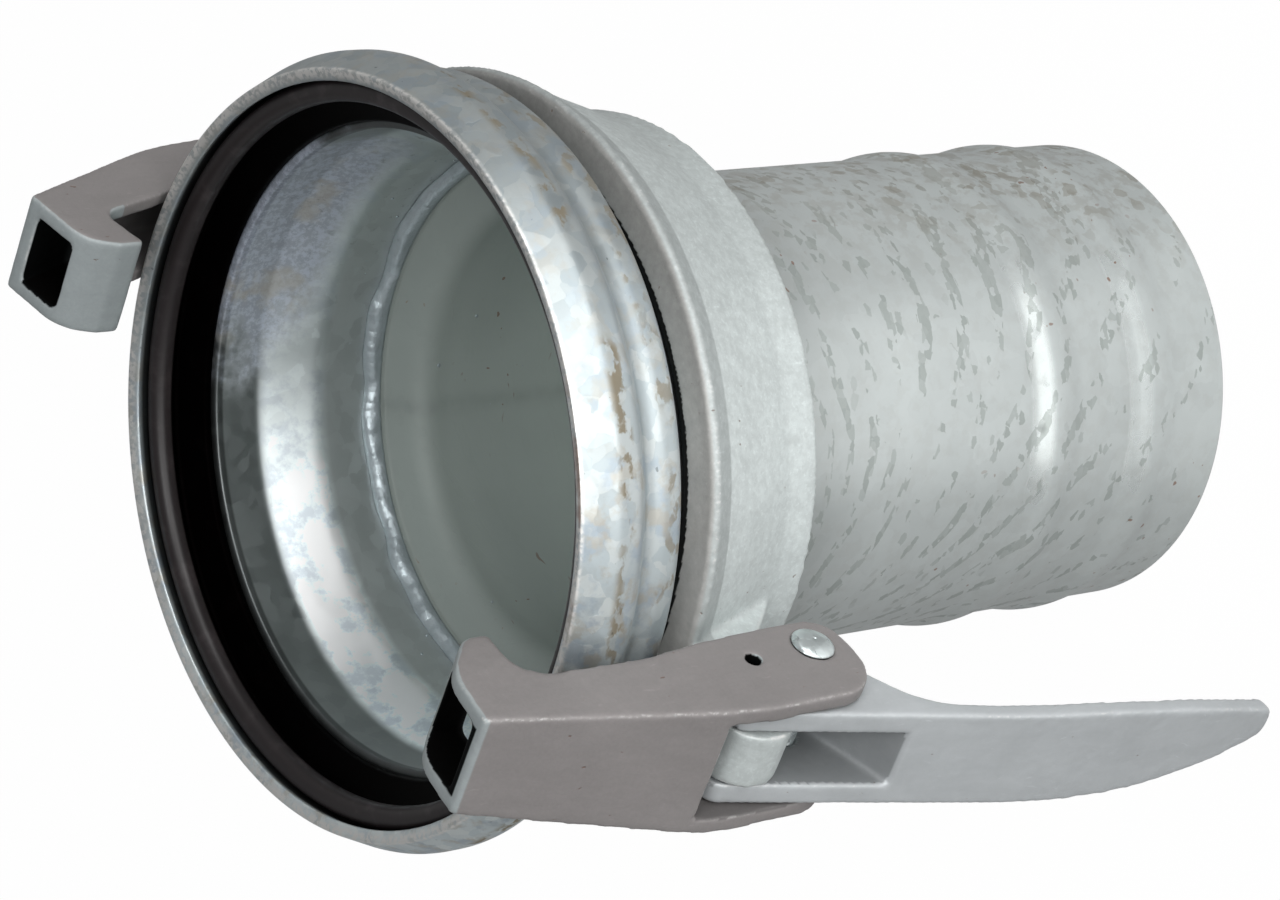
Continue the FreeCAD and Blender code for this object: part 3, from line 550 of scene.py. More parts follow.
def build_spatter():
    """Weld droplets on the socket's tail and inside the tube.

    A droplet is a flattened ball: its size times (sin v cos u, sin v sin u, flatness cos v), stood
    on the sheet's own normal.
    """
    draw = np.random.default_rng(5)
    count, rings, spokes = 90, 6, 9
    tail_radius, flatness, pole = 59.8, 0.55, 0.02
    angle = draw.uniform(-np.pi, np.pi, count)
    size = draw.uniform(0.16, 0.5, count) * draw.uniform(0.5, 1.1, count)
    on_tube = draw.random(count) < 0.7
    depth = np.where(on_tube, draw.uniform(58.5, 112, count), draw.uniform(41, 49, count))
    radius = np.where(on_tube, TUBE_RADIUS - millimetres("tube_wall"), tail_radius)
    spot = stacked(radius * np.cos(angle), radius * np.sin(angle), MOUTH - depth)
    normal = stacked(-np.cos(angle), -np.sin(angle), 0.0)
    side = stacked(-np.sin(angle), np.cos(angle), 0.0)
    u = np.linspace(0, 2 * np.pi, spokes, endpoint=False)[:, None]
    v = np.linspace(pole, np.pi - pole, rings)[None, :]
    ball = stacked(np.sin(v) * np.cos(u), np.sin(v) * np.sin(u), flatness * np.cos(v)).reshape(-1, 3)
    axes = np.stack((side, np.cross(normal, side), normal), axis=1)
    points = spot[:, None] + size[:, None, None] * np.einsum("pk,nkx->npx", ball, axes)
    quads = grid_faces(spokes, rings, open_columns=True)[:, ::-1]
    top = np.arange(spokes) * rings
    bottom = top[::-1] + rings - 1
    faces = [list(start + face) for start in np.arange(count) * rings * spokes
             for face in (*quads, top, bottom)]
    make_object("weld_spatter", points.reshape(-1, 3), faces, weld_finish(), "coupling", "weld_metal")


def build_seal():
    """The rubber seal: a closed rounded section turned about the axis."""
    section = rounded(at_depth([
        (65.9, 13.85, 0.4), (73.3, 13.85, 0.6), (76.9, 10.6, 0.8), (76.9, 8.2, 1.0),
        (74.1, 3.1, 1.4), (70.3, 3.1, 2.4), (70.3, 7.2, 1.6), (73.6, 9.3, 0.8), (66.2, 12.4, 0.7)]),
        closed=True, pitch=0.35)
    points, faces = turned(section, ROUND_STEPS)
    seal = make_object("seal", points, faces, rubber_finish(), "coupling", "seal_rubber")
    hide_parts("seal_ring")


def lumps(points, size, seed, count=14):
    """Soft lumps in space, about -1 to 1: a sum of cosines along random directions."""
    draw = np.random.default_rng(seed)
    directions = unit(draw.normal(size=(count, 3))) * 2 * np.pi / size
    phases = draw.uniform(0, 2 * np.pi, count)
    return np.cos(points @ directions.T + phases).sum(axis=1) / np.sqrt(count)


def vertex_values(mesh, source, name, width):
    """One row of values per vertex, read from one of the mesh's own lists."""
    values = np.empty(len(mesh.vertices) * width, np.float32)
    getattr(mesh, source).foreach_get(name, values)
    return values.reshape(-1, width).astype(float)


def worn(mesh, points, normals):
    """How far each vertex stands proud: the mean of normal times (own place - neighbour's place)."""
    ends = np.empty(len(mesh.edges) * 2, np.int32)
    mesh.edges.foreach_get("vertices", ends)
    first, second = ends.reshape(-1, 2).T
    step = points[first] - points[second]
    reach = np.linalg.norm(step, axis=1) + 1e-9
    total, hits = np.zeros(len(points)), np.zeros(len(points))
    for here, sign in ((first, 1), (second, -1)):
        np.add.at(total, here, sign * (step * normals[here]).sum(axis=1) / reach)
        np.add.at(hits, here, 1)
    return total / np.maximum(hits, 1)


def slices_of(points):
    """The number of each point's slice, SLICE millimetres of height."""
    return ((points[:, 2] - points[:, 2].min()) / SLICE).astype(int)


def most_in(slices, values):
    """The largest value in each point's own slice."""
    most = np.full(slices.max() + 1, -np.inf)
    np.maximum.at(most, slices, values)
    return most[slices]


def facing_in(points, normals):
    """Painted shade: above 0 where a claw's wall faces the space between its cheeks and webs, 1 at its
    open end.

    A cheek faces it when its normal points to the middle plane. A web faces it when its normal
    points to the middle rise of its slice. The wall of the lock hole counts as 1 too.
    """
    web_thickness, open_from, open_over = 3.2, 8.0, 8.0
    slices = slices_of(points)
    rise = np.abs(points[:, 0])
    upward = np.sign(points[:, 0]) * normals[:, 0]
    top, bottom = most_in(slices, rise), -most_in(slices, -rise)
    half = most_in(slices, np.abs(points[:, 1]))
    cheek = np.sign(points[:, 1]) * normals[:, 1] < -0.5
    web = ((top + bottom) / 2 - rise) * upward > 0.3
    within = np.abs(points[:, 1]) < half - web_thickness
    ahead = np.clip((points[:, 2] - MOUTH - open_from) / open_over, 0, 1)
    inner = (cheek | (web & within)) * (0.45 + 0.55 * ahead)
    hole_x, hole_height, hole_radius = LOCK_HOLE
    lock = np.hypot(points[:, 0] - hole_x, points[:, 2] - hole_height) < hole_radius
    return np.maximum(inner, lock)


def facing_axis(points, normals):
    """Painted shade: 1 where the ring's wall faces the axis, else 0."""
    inward = -(points[:, :2] * normals[:, :2]).sum(axis=1) / np.linalg.norm(points[:, :2], axis=1)
    return (inward > 0.25).astype(float)


def facing_slot(points, normals):
    """Painted shade: above 0 in the slot along the lever's middle plane, most on the cheek that faces
    down.

    The slot is what lies deeper than the outermost point of its slice, between the two cheeks.
    """
    slot_half, least_depth, floor_shade, cheek_shade = 7.6, 1.0, 0.42, 0.80
    outer = most_in(slices_of(points), points[:, 0])
    between = (np.abs(points[:, 1]) < slot_half) & (points[:, 2] > SLOT_END)
    sunk = between & (points[:, 0] < outer - least_depth) & (normals[:, 0] > -0.3)
    return sunk * np.where(normals[:, 1] < -0.4, cheek_shade, floor_shade)


def grown_skin(node, name, skin, relax):
    """The surface of a solid, taken up by an even grid and relaxed, as a mesh."""
    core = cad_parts[node].data.copy()
    shell = bmesh.new()
    shell.from_mesh(core)
    bmesh.ops.remove_doubles(shell, verts=shell.verts, dist=1e-6)
    shell.to_mesh(core)
    shell.free()
    piece = bpy.data.objects.new(name + "_core", core)
    bpy.context.scene.collection.objects.link(piece)
    grid = piece.modifiers.new("skin", "REMESH")
    grid.mode = "VOXEL"
    grid.voxel_size = skin
    ease = piece.modifiers.new("ease", "SMOOTH")
    ease.factor = 0.5
    ease.iterations = relax
    graph = bpy.context.evaluated_depsgraph_get()
    mesh = bpy.data.meshes.new_from_object(piece.evaluated_get(graph))
    bpy.data.objects.remove(piece)
    return mesh


def cast_over(node, name, skin, material, body, slot_name, seed, hollow, relax=16):
    """A casting's skin, made uneven and kept inside its node's box.

    Each vertex moves along its normal by the unevenness times two sizes of lumps. The attributes
    say where the skin stands proud, how much painted shade it gets inside the casting, and where it
    looks ahead or to the nose's inner side.
    """
    deepest, proudest, margin, nose_depth = -0.12, 0.02, 0.02, 10.0
    mesh = grown_skin(node, name, skin, relax)
    points = vertex_values(mesh, "vertices", "co", 3) / MM
    normals = vertex_values(mesh, "vertex_normals", "vector", 3)
    # How far the skin stands proud: worn edges where it stands out, painted shade where it is sunk
    proud = worn(mesh, points, normals)
    # Share of painted shade on the skin inside the casting
    inner = hollow(points, normals)
    nose = (points[:, 2] > MOUTH + nose_depth) * -np.sign(points[:, 0]) * normals[:, 0]
    ahead = np.clip(np.maximum(normals[:, 2], nose), 0, 1)
    wave = millimetres("cast_wave") * (0.6 * lumps(points, 11, seed) + 0.4 * lumps(points, 3.1, seed + 1))
    points += normals * np.clip(wave, deepest, proudest)[:, None]
    low, high = (np.array(corner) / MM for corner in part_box(node))
    points = np.clip(points, low + margin, high - margin)
    corners = np.empty(len(mesh.loops), np.int32)
    mesh.loops.foreach_get("vertex_index", corners)
    piece = make_object(name, points, corners.reshape(-1, 4), material, body, slot_name,
                        proud=proud, hollow=inner, ahead=ahead)
    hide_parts(node)


def build_ring():
    """The clamp ring with its two lugs, as one casting on a coarser grid."""
    cast_over("clamp_ring", "ring_casting", 1.5 * shapes().cast_skin, ring_finish(), "ring",
              "ring_casting", seed=31, hollow=facing_axis, relax=4)


def build_lever():
    """The over-centre lever."""
    cast_over("lever", "lever_casting", shapes().cast_skin, lever_finish(), "lever",
              "lever_casting", seed=41, hollow=facing_slot)


def build_claws():
    """The claw on the lever and the hook."""
    finish = claw_finish()
    for node, seed in (("claw", 51), ("hook", 61)):
        cast_over(node, node + "_casting", shapes().cast_skin, finish, node, "claw_casting",
                  seed=seed, hollow=facing_in)


def build_pins():
    """The three hinge pins, turned along Y; a head is a dome with r = R sin t, h = H cos t.

    The dome is beaten a little uneven: its radius shrinks with 1 + cos(3 a) towards the top.
    Laying the axis along Y mirrors the piece, so its faces are turned round.
    """
    head_radius, head_height, shank, chamfer, gap = 4.45, 1.45, 3.98, 0.4, 0.02
    beating, steps = 0.035, 56
    finish = pin_finish()
    for node, body, headed in (("lever_pin", "lever", False), ("claw_pin", "claw", True),
                               ("hook_pin", "hook", True)):
        low, high = (np.array(corner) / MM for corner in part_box(node))
        half = (high[1] - low[1]) / 2
        neck = half - head_height
        if headed:
            dome = np.linspace(0.04, np.pi / 2, 12)
            arc = np.stack([head_radius * np.sin(dome), neck + head_height * np.cos(dome)], axis=1)
            side = np.concatenate((arc, [[head_radius, neck - gap], [shank, neck - gap]]))
        else:
            side = np.array([[0.1, half], [shank - chamfer, half], [shank, half - chamfer]])
        section = np.concatenate((side[::-1], side * (1, -1)))

        def beaten(radius, level, angle):
            over = np.clip((np.abs(level) - neck) / head_height, 0, 1)
            return radius * (1 - beating * over * (1 + np.cos(3 * angle + 1.1)))

        points, faces = turned(section, steps, beaten if headed else None)
        points = points[:, [0, 2, 1]] + (low + high) / 2
        piece = make_object(node + "_turned", points, faces[:, ::-1], finish, body, "zinc_pin")
        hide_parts(node)


# Finishes

def upper(finish, reach):
    """How far up in the picture a place lies, as a share of the reach."""
    return finish.along(CAMERA_UP, reach)


def flakes_of(finish):
    """Share of dull flakes: ragged crystals, scattered high up and packed in lanes along the streams.

    A lane is a wave across the streams. Near the drain, where the streams close up, every second
    lane ends. The hose end has few flakes.
    """
    bent = finish.shaken(finish.attribute("flow", "Vector"), 24, 4.0)
    torn = finish.stretched(finish.shaken(finish.place, 1.2, 0.6, detail=3.0), (0.75, 0.75, 1.25))
    cell = finish.cells(1.75, torn)
    flake, strength = cell.part("Red"), cell.part("Green")
    across = bent.part("Y")
    wide, narrow = (finish.math("SINE", across * pitch) for pitch in (0.42, 0.84))
    near = bent.part("X").above(62.0, 46.0)
    lane = (wide * near + narrow * (1 - near)).above(0.35, 0.85)
    busy = finish.noise(19, detail=1.0).above(0.34, 0.56)
    high = upper(finish, TUBE_RADIUS).above(0.0, 0.7)
    scattered = 0.10 * high * finish.noise(13).above(0.35, 0.6)
    end = finish.place.part("Z").above(26.0, 12.0)
    least = 0.965 - scattered - lane * (0.10 + 0.56 * busy) + 0.4 * end
    return (flake - least).above(0.0, 0.04) * (0.55 + 0.45 * strength)


def tube_outside(finish, tone, flakes, mottle):
    """Clouded zinc with painted shade towards the ring and high up, dull flakes, and smudges and flecks
    high up.
    """
    high = upper(finish, TUBE_RADIUS)
    top = high.above(0.3, 0.9)
    cloud = finish.noise(38, detail=3.0)
    crystal = finish.cells(6.0, finish.shaken(finish.place, 4.0, 2.0)).part("Red")
    base = finish.shade(tone.zinc, 0.90 + 0.10 * cloud + 0.10 * (mottle - 0.5) + 0.06 * crystal)
    # Painted shade: darker towards the ring
    base = finish.shade(base, 1 - 0.28 * finish.place.part("Z").above(88.0, 138.0))
    # Smudges of brownish dirt, thicker towards the picture's top, where they also stand in as painted
    # shade
    smudge = finish.noise(4.5, detail=5.0, roughness=0.65).above(0.47, 0.60)
    base = finish.blend(smudge * (0.10 + 0.35 * top), base, tone.flake_high)
    base = finish.blend(flakes * 0.7, base, finish.blend(top * 0.7, tone.zinc_flake, tone.flake_high))
    torn = finish.shaken(finish.place, 1.8, 0.8, detail=3.0)
    fleck = finish.cells(2.7, torn).part("Green").above(0.80, 0.81)
    share = fleck * high.above(0.35, 0.85) * finish.noise(11).above(0.42, 0.56)
    return finish.blend(share * 0.45, base, finish.shade(tone.stain, 0.62 + 0.2 * mottle))


def tube_inside(finish, tone):
    """Dull zinc, darker along the seam, with painted shade towards the weld, painted light deeper in, and
    streaks of rust.
    """
    level = finish.place.part("Z")
    base = finish.shade(tone.zinc_inside, 0.92 + 0.16 * finish.noise(22, detail=3.0))
    base = finish.shade(base, 1 - 0.22 * finish.attribute("seam") * finish.noise(4, detail=3.0))
    # Painted shade near the weld, and painted light that brightens the colour deeper down the tube
    base = finish.shade(base, 0.66 + 0.34 * level.above(146.0, 134.0) + 0.35 * level.above(136.0, 100.0))
    drawn_out = finish.stretched(finish.shaken(finish.place, 6, 2.0), (0.35, 0.35, 1.5))
    streak = finish.noise(2.2, drawn_out).above(0.72, 0.75) * finish.noise(21).above(0.5, 0.56)
    return finish.blend(streak * 0.6, base, tone.rust)


def tube_finish():
    """Dip-zinc with rust specks, flaked outside and dull inside, and glossy crescents on the beads.

    A crescent lies just off a bead's crest, towards the mouth, on the lit side, where its colour is
    brightened as a painted highlight.
    """
    finish, tone = Finish("Tube zinc"), looks()
    level = finish.place.part("Z")
    within = finish.attribute("inside").above(0.6, 0.9)
    flakes = flakes_of(finish)
    mottle = finish.noise(5, detail=4.0)
    base = finish.blend(within, tube_outside(finish, tone, flakes, mottle), tube_inside(finish, tone))
    specks = finish.noise(2.4, detail=1.0).above(0.735, 0.755) * finish.noise(30).above(0.5, 0.6)
    base = finish.blend(specks * 0.7, base, tone.rust)
    crescents = sum(level.above(crest + 1.0, crest + 3.5) * level.above(crest + 8.5, crest + 7.0)
                    for crest in BEAD_CRESTS)
    lit = finish.along(BRIGHT_SIDE, TUBE_RADIUS).above(0.80, 0.94)
    painted_crescent_sheen = crescents * (1 - within) * finish.noise(4.0, detail=1.0).above(0.2, 0.5) * lit
    # Painted highlight: the crescents' colour brightened by up to 60 percent on the lit side
    base = finish.shade(base, 1 + 0.60 * painted_crescent_sheen)
    rough = 0.38 + 0.12 * flakes + 0.08 * (mottle - 0.5) + 0.22 * within - 0.20 * painted_crescent_sheen
    grain = (0.012 * finish.noise(0.9) - 0.02 * flakes) * painted_crescent_sheen.above(0.25, 0.0)
    height = grain + 0.10 * finish.noise(14, detail=1.0)
    return finish.surface(base_color=base, metallic=0.50 - 0.40 * within + 0.45 * painted_crescent_sheen,
                          roughness=rough, normal=finish.bump(height, 0.7))


def bell_finish():
    """Small zinc crystals under blue and brown dirt, stains along the crests, a bright worn rim, and
    painted light: lighter on the lower side, darker high up.

    The inner side is darkened as painted shade where the seal sits in it, with rust low down on the rim's
    inner side.
    """
    finish, tone = Finish("Bell zinc"), looks()
    place = finish.place
    depth = MOUTH - place.part("Z")
    high = upper(finish, BELL_RADIUS)
    crystal = finish.cells(3.4, finish.shaken(place, 3.0, 1.1))
    base = finish.blend(crystal.part("Red").above(0.1, 0.9), tone.zinc_blue, tone.zinc_pale)
    # Painted light and shade: lighter on the lower side, darker in a band high up in the picture
    painted_shade_high = high.above(0.10, 0.35) * high.above(0.85, 0.70)
    light = 0.71 + 0.16 * finish.noise(9, detail=4.0) + 0.30 * high.above(-0.35, -0.90)
    base = finish.shade(base, light - 0.14 * painted_shade_high)
    dirt = finish.blend(finish.noise(4.5, detail=3.0).above(0.45, 0.56), tone.grime_blue,
                        tone.grime_brown)
    clouded = finish.noise(6.5, detail=5.0, roughness=0.65).above(0.46, 0.60)
    base = finish.blend(clouded * (0.30 + 0.30 * high.above(0.2, -0.5)), base, dirt)
    drawn_out = finish.stretched(finish.shaken(place, 1.6, 0.7, detail=3.0), (1.0, 1.0, 1.7))
    crest = depth.above(6.5, 8.5) * depth.above(11.5, 10.0) + depth.above(20.0, 21.0) * 0.7
    patch = finish.noise(5.0, drawn_out, detail=3.0).above(0.50, 0.59)
    stains = patch * finish.noise(15, detail=1.0).above(0.41, 0.54) * (0.08 + 0.85 * crest)
    base = finish.blend(stains, base, finish.shade(tone.stain, 0.80))
    base = finish.shade(base, 1 - 0.45 * finish.noise(1.5, detail=1.0).above(0.76, 0.80))
    within = finish.attribute("inside").above(0.3, 0.6)
    # Painted shade on the inner side past the rim
    base = finish.shade(base, 1 - 0.90 * within * depth.above(1.6, 3.0))
    scuff = finish.noise(1.1, detail=3.0).above(0.40, 0.56)
    base = finish.blend(depth.above(1.2, 0.4) * (0.3 + 0.7 * scuff), base, tone.worn_edge)
    low_side = high.above(0.048, -0.241) * place.part("Y").above(10.0, 30.0)
    rusty = within * depth.above(4.0, 1.5) * finish.noise(7, detail=3.0).above(0.40, 0.55) * low_side
    base = finish.blend(rusty * 0.8, base, tone.rust)
    rough = 0.37 + 0.14 * crystal.part("Green") + 0.28 * stains
    height = 0.04 * finish.noise(4.2) + 0.012 * finish.noise(0.8) + 0.03 * crystal.part("Red")
    return finish.surface(base_color=base, metallic=0.75, roughness=rough, normal=finish.bump(height, 0.6))


def socket_finish():
    """Drawn zinc: painted shade on the front, a painted highlight on the cone, a bluish patch of dirt
    towards GRIME_SIDE, lighter tail.
    """
    finish, tone = Finish("Socket zinc"), looks()
    place = finish.place
    depth = MOUTH - place.part("Z")
    rise = upper(finish, SOCKET_RADIUS)
    high, low = rise.above(0.05, 0.75), rise.above(0.1, -0.6)
    torn = finish.noise(13, detail=5.0, roughness=0.65) - 0.5
    ragged = finish.along(GRIME_SIDE, SOCKET_RADIUS) + 0.5 * torn
    grime = ragged.above(0.82, 0.98) * depth.above(37.0, 31.0)
    front, tail = depth.above(27.0, 23.5), depth.above(37.5, 40.0)
    cone = (1 - front) * (1 - tail)
    crystal = finish.cells(3.4, finish.shaken(place, 3.0, 1.4)).part("Red")
    base = finish.shade(tone.zinc_pale, 0.88 + 0.12 * crystal)
    streak = finish.noise(6.0, finish.stretched(place, (1.0, 1.0, 0.35)), detail=4.0)
    base = finish.shade(base, 0.94 + 0.14 * streak)
    # Painted shade: the front band darker outside the patch of dirt, and its edge strip much darker
    base = finish.shade(base, (1 - 0.42 * front * (1 - grime)) * (1 - 0.6 * depth.above(16.3, 15.6)))
    # Painted highlight: the cone brighter, most on its lower side
    base = finish.shade(base, 1 + cone * (0.40 * (1 - high) + 0.60 * low))
    bluish = finish.noise(7, detail=5.0, roughness=0.65).above(0.45, 0.62) * (0.25 + 0.25 * low)
    base = finish.blend(bluish * cone, base, finish.shade(tone.zinc_cloud, 1.15))
    speck = finish.noise(1.7, detail=4.0, roughness=0.75).above(0.42, 0.60)
    tint = finish.blend(speck, finish.shade(tone.zinc_cloud, 0.62), tone.zinc_cloud)
    cloud = finish.noise(17, detail=4.0, roughness=0.62).above(0.55, 0.66)
    tint = finish.blend(cloud * 0.6, tint, tone.stain)
    base = finish.blend(grime * 0.75, base, tint)
    dirt = finish.noise(2.4, detail=4.0, roughness=0.7).above(0.60, 0.70) * high
    base = finish.blend(dirt * 0.5, base, finish.shade(tone.zinc_flake, 0.55))
    rough = 0.40 + 0.08 * crystal + 0.20 * grime - 0.04 * tail
    height = 0.03 * finish.noise(5.0) + 0.008 * finish.noise(0.7)
    return finish.surface(base_color=base, metallic=0.96 - 0.6 * grime - 0.25 * tail, roughness=rough,
                          normal=finish.bump(height, 0.6))


def casting(name, base_tone, grain_size, speckle, metallic, rough, edge_share, strength=0.8):
    """Castings' shared look: clouds, grain, scratches, rust nicks, worn edges, painted shade in creases
    and hollows.
    """
    finish, tone = Finish(name), looks()
    proud, hollow = finish.attribute("proud"), finish.attribute("hollow")
    grain = finish.noise(grain_size, detail=4.0, roughness=0.65)
    cloud = finish.noise(19, detail=3.0) + 0.5 * finish.noise(5, detail=4.0, roughness=0.6)
    base = finish.shade(base_tone(finish, tone), 0.80 + 0.18 * cloud + speckle * (grain - 0.5) * 2)
    drawn_out = finish.stretched(finish.shaken(finish.place, 14, 4.0), (1.0, 1.0, 0.10))
    scratch = finish.noise(0.8, drawn_out).above(0.66, 0.74) * finish.noise(12).above(0.45, 0.6)
    smear = finish.noise(3.5, drawn_out, detail=4.0, roughness=0.65)
    base = finish.shade(base, (1 + 0.13 * scratch) * (0.90 + 0.20 * smear))
    nick = finish.noise(1.5, finish.stretched(finish.place, (1.0, 1.0, 0.5))).above(0.74, 0.78)
    base = finish.blend(nick * 0.6, base, finish.shade(tone.rust, 0.6))
    scuff = finish.noise(1.3, detail=3.0, roughness=0.7).above(0.46, 0.60)
    chipped = finish.noise(7, detail=3.0).above(0.38, 0.62)
    edge = proud.above(0.06, 0.18) * (0.15 + 0.85 * scuff * chipped) * edge_share
    base = finish.blend(edge, base, tone.worn_edge)
    # Painted shade: darker where the skin is sunk into a crease, and near black inside the casting
    base = finish.shade(base, (1 - 0.35 * proud.above(-0.05, -0.22)) * (1 - 0.98 * hollow))
    height = 0.05 * grain + 0.07 * finish.noise(2.6) - 0.12 * nick
    # In the painted shade the metal turns fully metallic and rougher, so that it stays dark
    return finish.surface(base_color=base, metallic=metallic + (1 - metallic) * hollow.above(0.3, 0.9),
                          roughness=rough - 0.14 * edge + 0.08 * (grain - 0.5) + 0.3 * hollow,
                          normal=finish.bump(height, strength))


def ring_tone(finish, tone):
    """Clouded zinc, darker on the lugs and the collar, with painted shade high up; dirt on the front face,
    painted darker high up.
    """
    place = finish.place
    depth = MOUTH - place.part("Z")
    radius = finish.vector("LENGTH", finish.stretched(place, (1.0, 1.0, 0.0)))
    off_lug = radius.above(77.4, 76.8)
    grit = finish.noise(0.8).above(0.56, 0.68)
    mottle = finish.noise(2.0, detail=5.0, roughness=0.7)
    cloudy = mottle.above(0.38, 0.62)
    # Painted shade: the ring darker towards the picture's top
    base = finish.shade(tone.ring, 0.89 + 0.10 * grit + 0.12 * cloudy - 0.20 * upper(finish, BELL_RADIUS))
    collar = off_lug * depth.above(40.3, 39.7)
    base = finish.shade(base, (1 - 0.27 * collar) * (0.80 + 0.20 * off_lug))
    front = off_lug * depth.above(34.3, 33.7)
    # The front face's dirt, with painted shade that deepens it towards the picture's top
    face_dirt_and_shade = finish.shade(tone.ring_face, 0.74 - 0.358 * upper(finish, BELL_RADIUS) + 0.52 * mottle)
    return finish.blend(front * 0.9, base, face_dirt_and_shade)


def ring_finish():
    """Satin zinc with fine bright speckles."""
    return casting("Ring zinc", ring_tone, grain_size=0.9, speckle=0.08, metallic=0.35, rough=0.50,
                   edge_share=0.7)


def lever_finish():
    """Satin grey zinc on the lever."""
    return casting("Lever zinc", lambda finish, tone: tone.lever, grain_size=1.4, speckle=0.05,
                   metallic=0.30, rough=0.46, edge_share=0.6, strength=0.5)


def claw_tone(finish, tone):
    """Brownish casting, lighter and bluish where a face looks towards the mouth: zinc left on the end
    faces, and partly painted light on faces turned to the lamps.
    """
    return finish.blend(finish.attribute("ahead").above(0.32, 0.50), tone.claw, tone.claw_end_zinc_and_light)


def claw_finish():
    """Dull brownish casting of claw and hook."""
    return casting("Claw casting", claw_tone, grain_size=0.8, speckle=0.11, metallic=0.20, rough=0.56,
                   edge_share=0.6)


def rubber_finish():
    """Glossy black rubber on the bead; the recess past it is painted near black and dull as shade."""
    finish, tone = Finish("Seal rubber"), looks()
    depth = MOUTH - finish.place.part("Z")
    dust = finish.noise(7, detail=4.0, roughness=0.6).above(0.5, 0.72)
    painted_recess_shade = depth.above(6.4, 7.2)
    # Painted shade: the recess near black, metallic and without coat, so that it shows no sheen
    base = finish.shade(tone.rubber, (0.8 + 0.7 * dust) * (1 - 0.92 * painted_recess_shade))
    height = 0.02 * finish.noise(1.2) + 0.05 * finish.noise(9, detail=1.0)
    return finish.surface(base_color=base, roughness=0.6, metallic=painted_recess_shade, specular_ior_level=0.08,
                          coat_weight=(1 - painted_recess_shade) * (0.75 + 0.25 * dust), coat_roughness=0.42,
                          normal=finish.bump(height, 0.5))


def weld_finish():
    """Bright weld metal."""
    finish, tone = Finish("Weld metal"), looks()
    cloud = finish.noise(2.0, detail=3.0)
    base = finish.shade(tone.weld, 0.86 + 0.36 * cloud)
    facet = finish.cells(1.3, finish.shaken(finish.place, 1.0, 0.5)).part("Red")
    height = 0.16 * finish.noise(1.1, detail=3.0) + 0.08 * facet
    return finish.surface(base_color=base, metallic=0.60, roughness=0.32 + 0.16 * cloud,
                          normal=finish.bump(height, 1.0))


def pin_finish():
    """Bright zinc plating with hammered facets."""
    finish, tone = Finish("Pin zinc"), looks()
    facet = finish.cells(2.6, finish.shaken(finish.place, 2.0, 0.4)).part("Red")
    base = finish.shade(tone.pin, 0.85 + 0.25 * facet)
    height = 0.30 * finish.noise(2.2, detail=1.0) + 0.10 * facet
    return finish.surface(base_color=base, metallic=0.9, roughness=0.22 + 0.14 * facet,
                          normal=finish.bump(height, 0.8))


# Stage

def build_camera():
    """The fitted camera: its axes right, up and back are the columns of its turn."""
    camera = bpy.data.cameras.new("camera")
    camera.lens = CAMERA_LENS
    camera.sensor_width = CAMERA_SENSOR
    camera.clip_start = 0.01
    seen_from = bpy.data.objects.new("camera", camera)
    bpy.context.scene.collection.objects.link(seen_from)
    turn = Matrix((CAMERA_RIGHT, CAMERA_UP, CAMERA_BACK)).transposed().to_4x4()
    seen_from.matrix_world = Matrix.Translation(CAMERA_PLACE) @ turn
    bpy.context.scene.camera = seen_from


def build_floor():
    """A round pale floor: rings of growing radius, flat at the height of the hose end.

    To the camera it shows white with a share of its own shading, which keeps the object's shadow.
    In mirror rays it is bright on the lit side, towards BRIGHT_SIDE and away from the object, and
    grey elsewhere.
    """
    steps, rings, outermost, drop, own_shading = 96, 24, 5000, 0.3, 0.015
    reach = np.linspace(0, 1, rings)[None, :] ** 2 * outermost + 0.5
    angle = whole_turn(steps)
    points = stacked(reach * np.cos(angle), reach * np.sin(angle), -drop).reshape(-1, 3)
    mesh = bpy.data.meshes.new("floor")
    mesh.from_pydata(points * MM, [], grid_faces(steps, rings, open_columns=True)[:, ::-1])
    floor = bpy.data.objects.new("floor", mesh)
    bpy.context.scene.collection.objects.link(floor)
    finish = Finish("Floor")
    camera_ray, mirror_ray, clear_ray = (
        finish.node("ShaderNodeLightPath", {}, {}, name)
        for name in ("Is Camera Ray", "Is Glossy Ray", "Is Transmission Ray"))
    seen = finish.math("MAXIMUM", camera_ray, clear_ray)
    towards = finish.vector("DOT_PRODUCT", finish.vector("NORMALIZE", finish.place), BRIGHT_SIDE)
    far = finish.vector("LENGTH", finish.place).above(105.0, 200.0)
    lit = 0.34 + towards.above(0.68, 0.95) * (0.33 + 0.52 * far)
    shaded = finish.node("ShaderNodeBsdfDiffuse", {}, {"Color": (0.8, 0.8, 0.8, 1)})
    white = finish.node("ShaderNodeEmission", {}, {"Strength": finish.math("MAXIMUM", seen, lit)})
    share = finish.math("MAXIMUM", seen, mirror_ray) * (1 - own_shading)
    both = finish.node("ShaderNodeMixShader", {}, {0: share, 1: shaded, 2: white})
    finish.node("ShaderNodeOutputMaterial", {}, {"Surface": both})
    mesh.materials.append(finish.material)


def build_world():
    """Soft room light: white at the horizon, grey overhead."""
    horizon, overhead, strength = (1.0, 1.0, 1.0), (0.42, 0.43, 0.44), 0.54
    world = bpy.data.worlds.new("room")
    bpy.context.scene.world = world
    world.use_nodes = True
    nodes = Nodes(world.node_tree)
    rise = nodes.node("ShaderNodeTexCoord", {}, {}, "Generated").part("Z")
    tint = nodes.node("ShaderNodeValToRGB", {"stops": ((0.0, horizon), (0.75, overhead))}, {0: rise})
    light = nodes.node("ShaderNodeBackground", {}, {"Color": tint, "Strength": strength})
    nodes.node("ShaderNodeOutputWorld", {}, {"Surface": light})


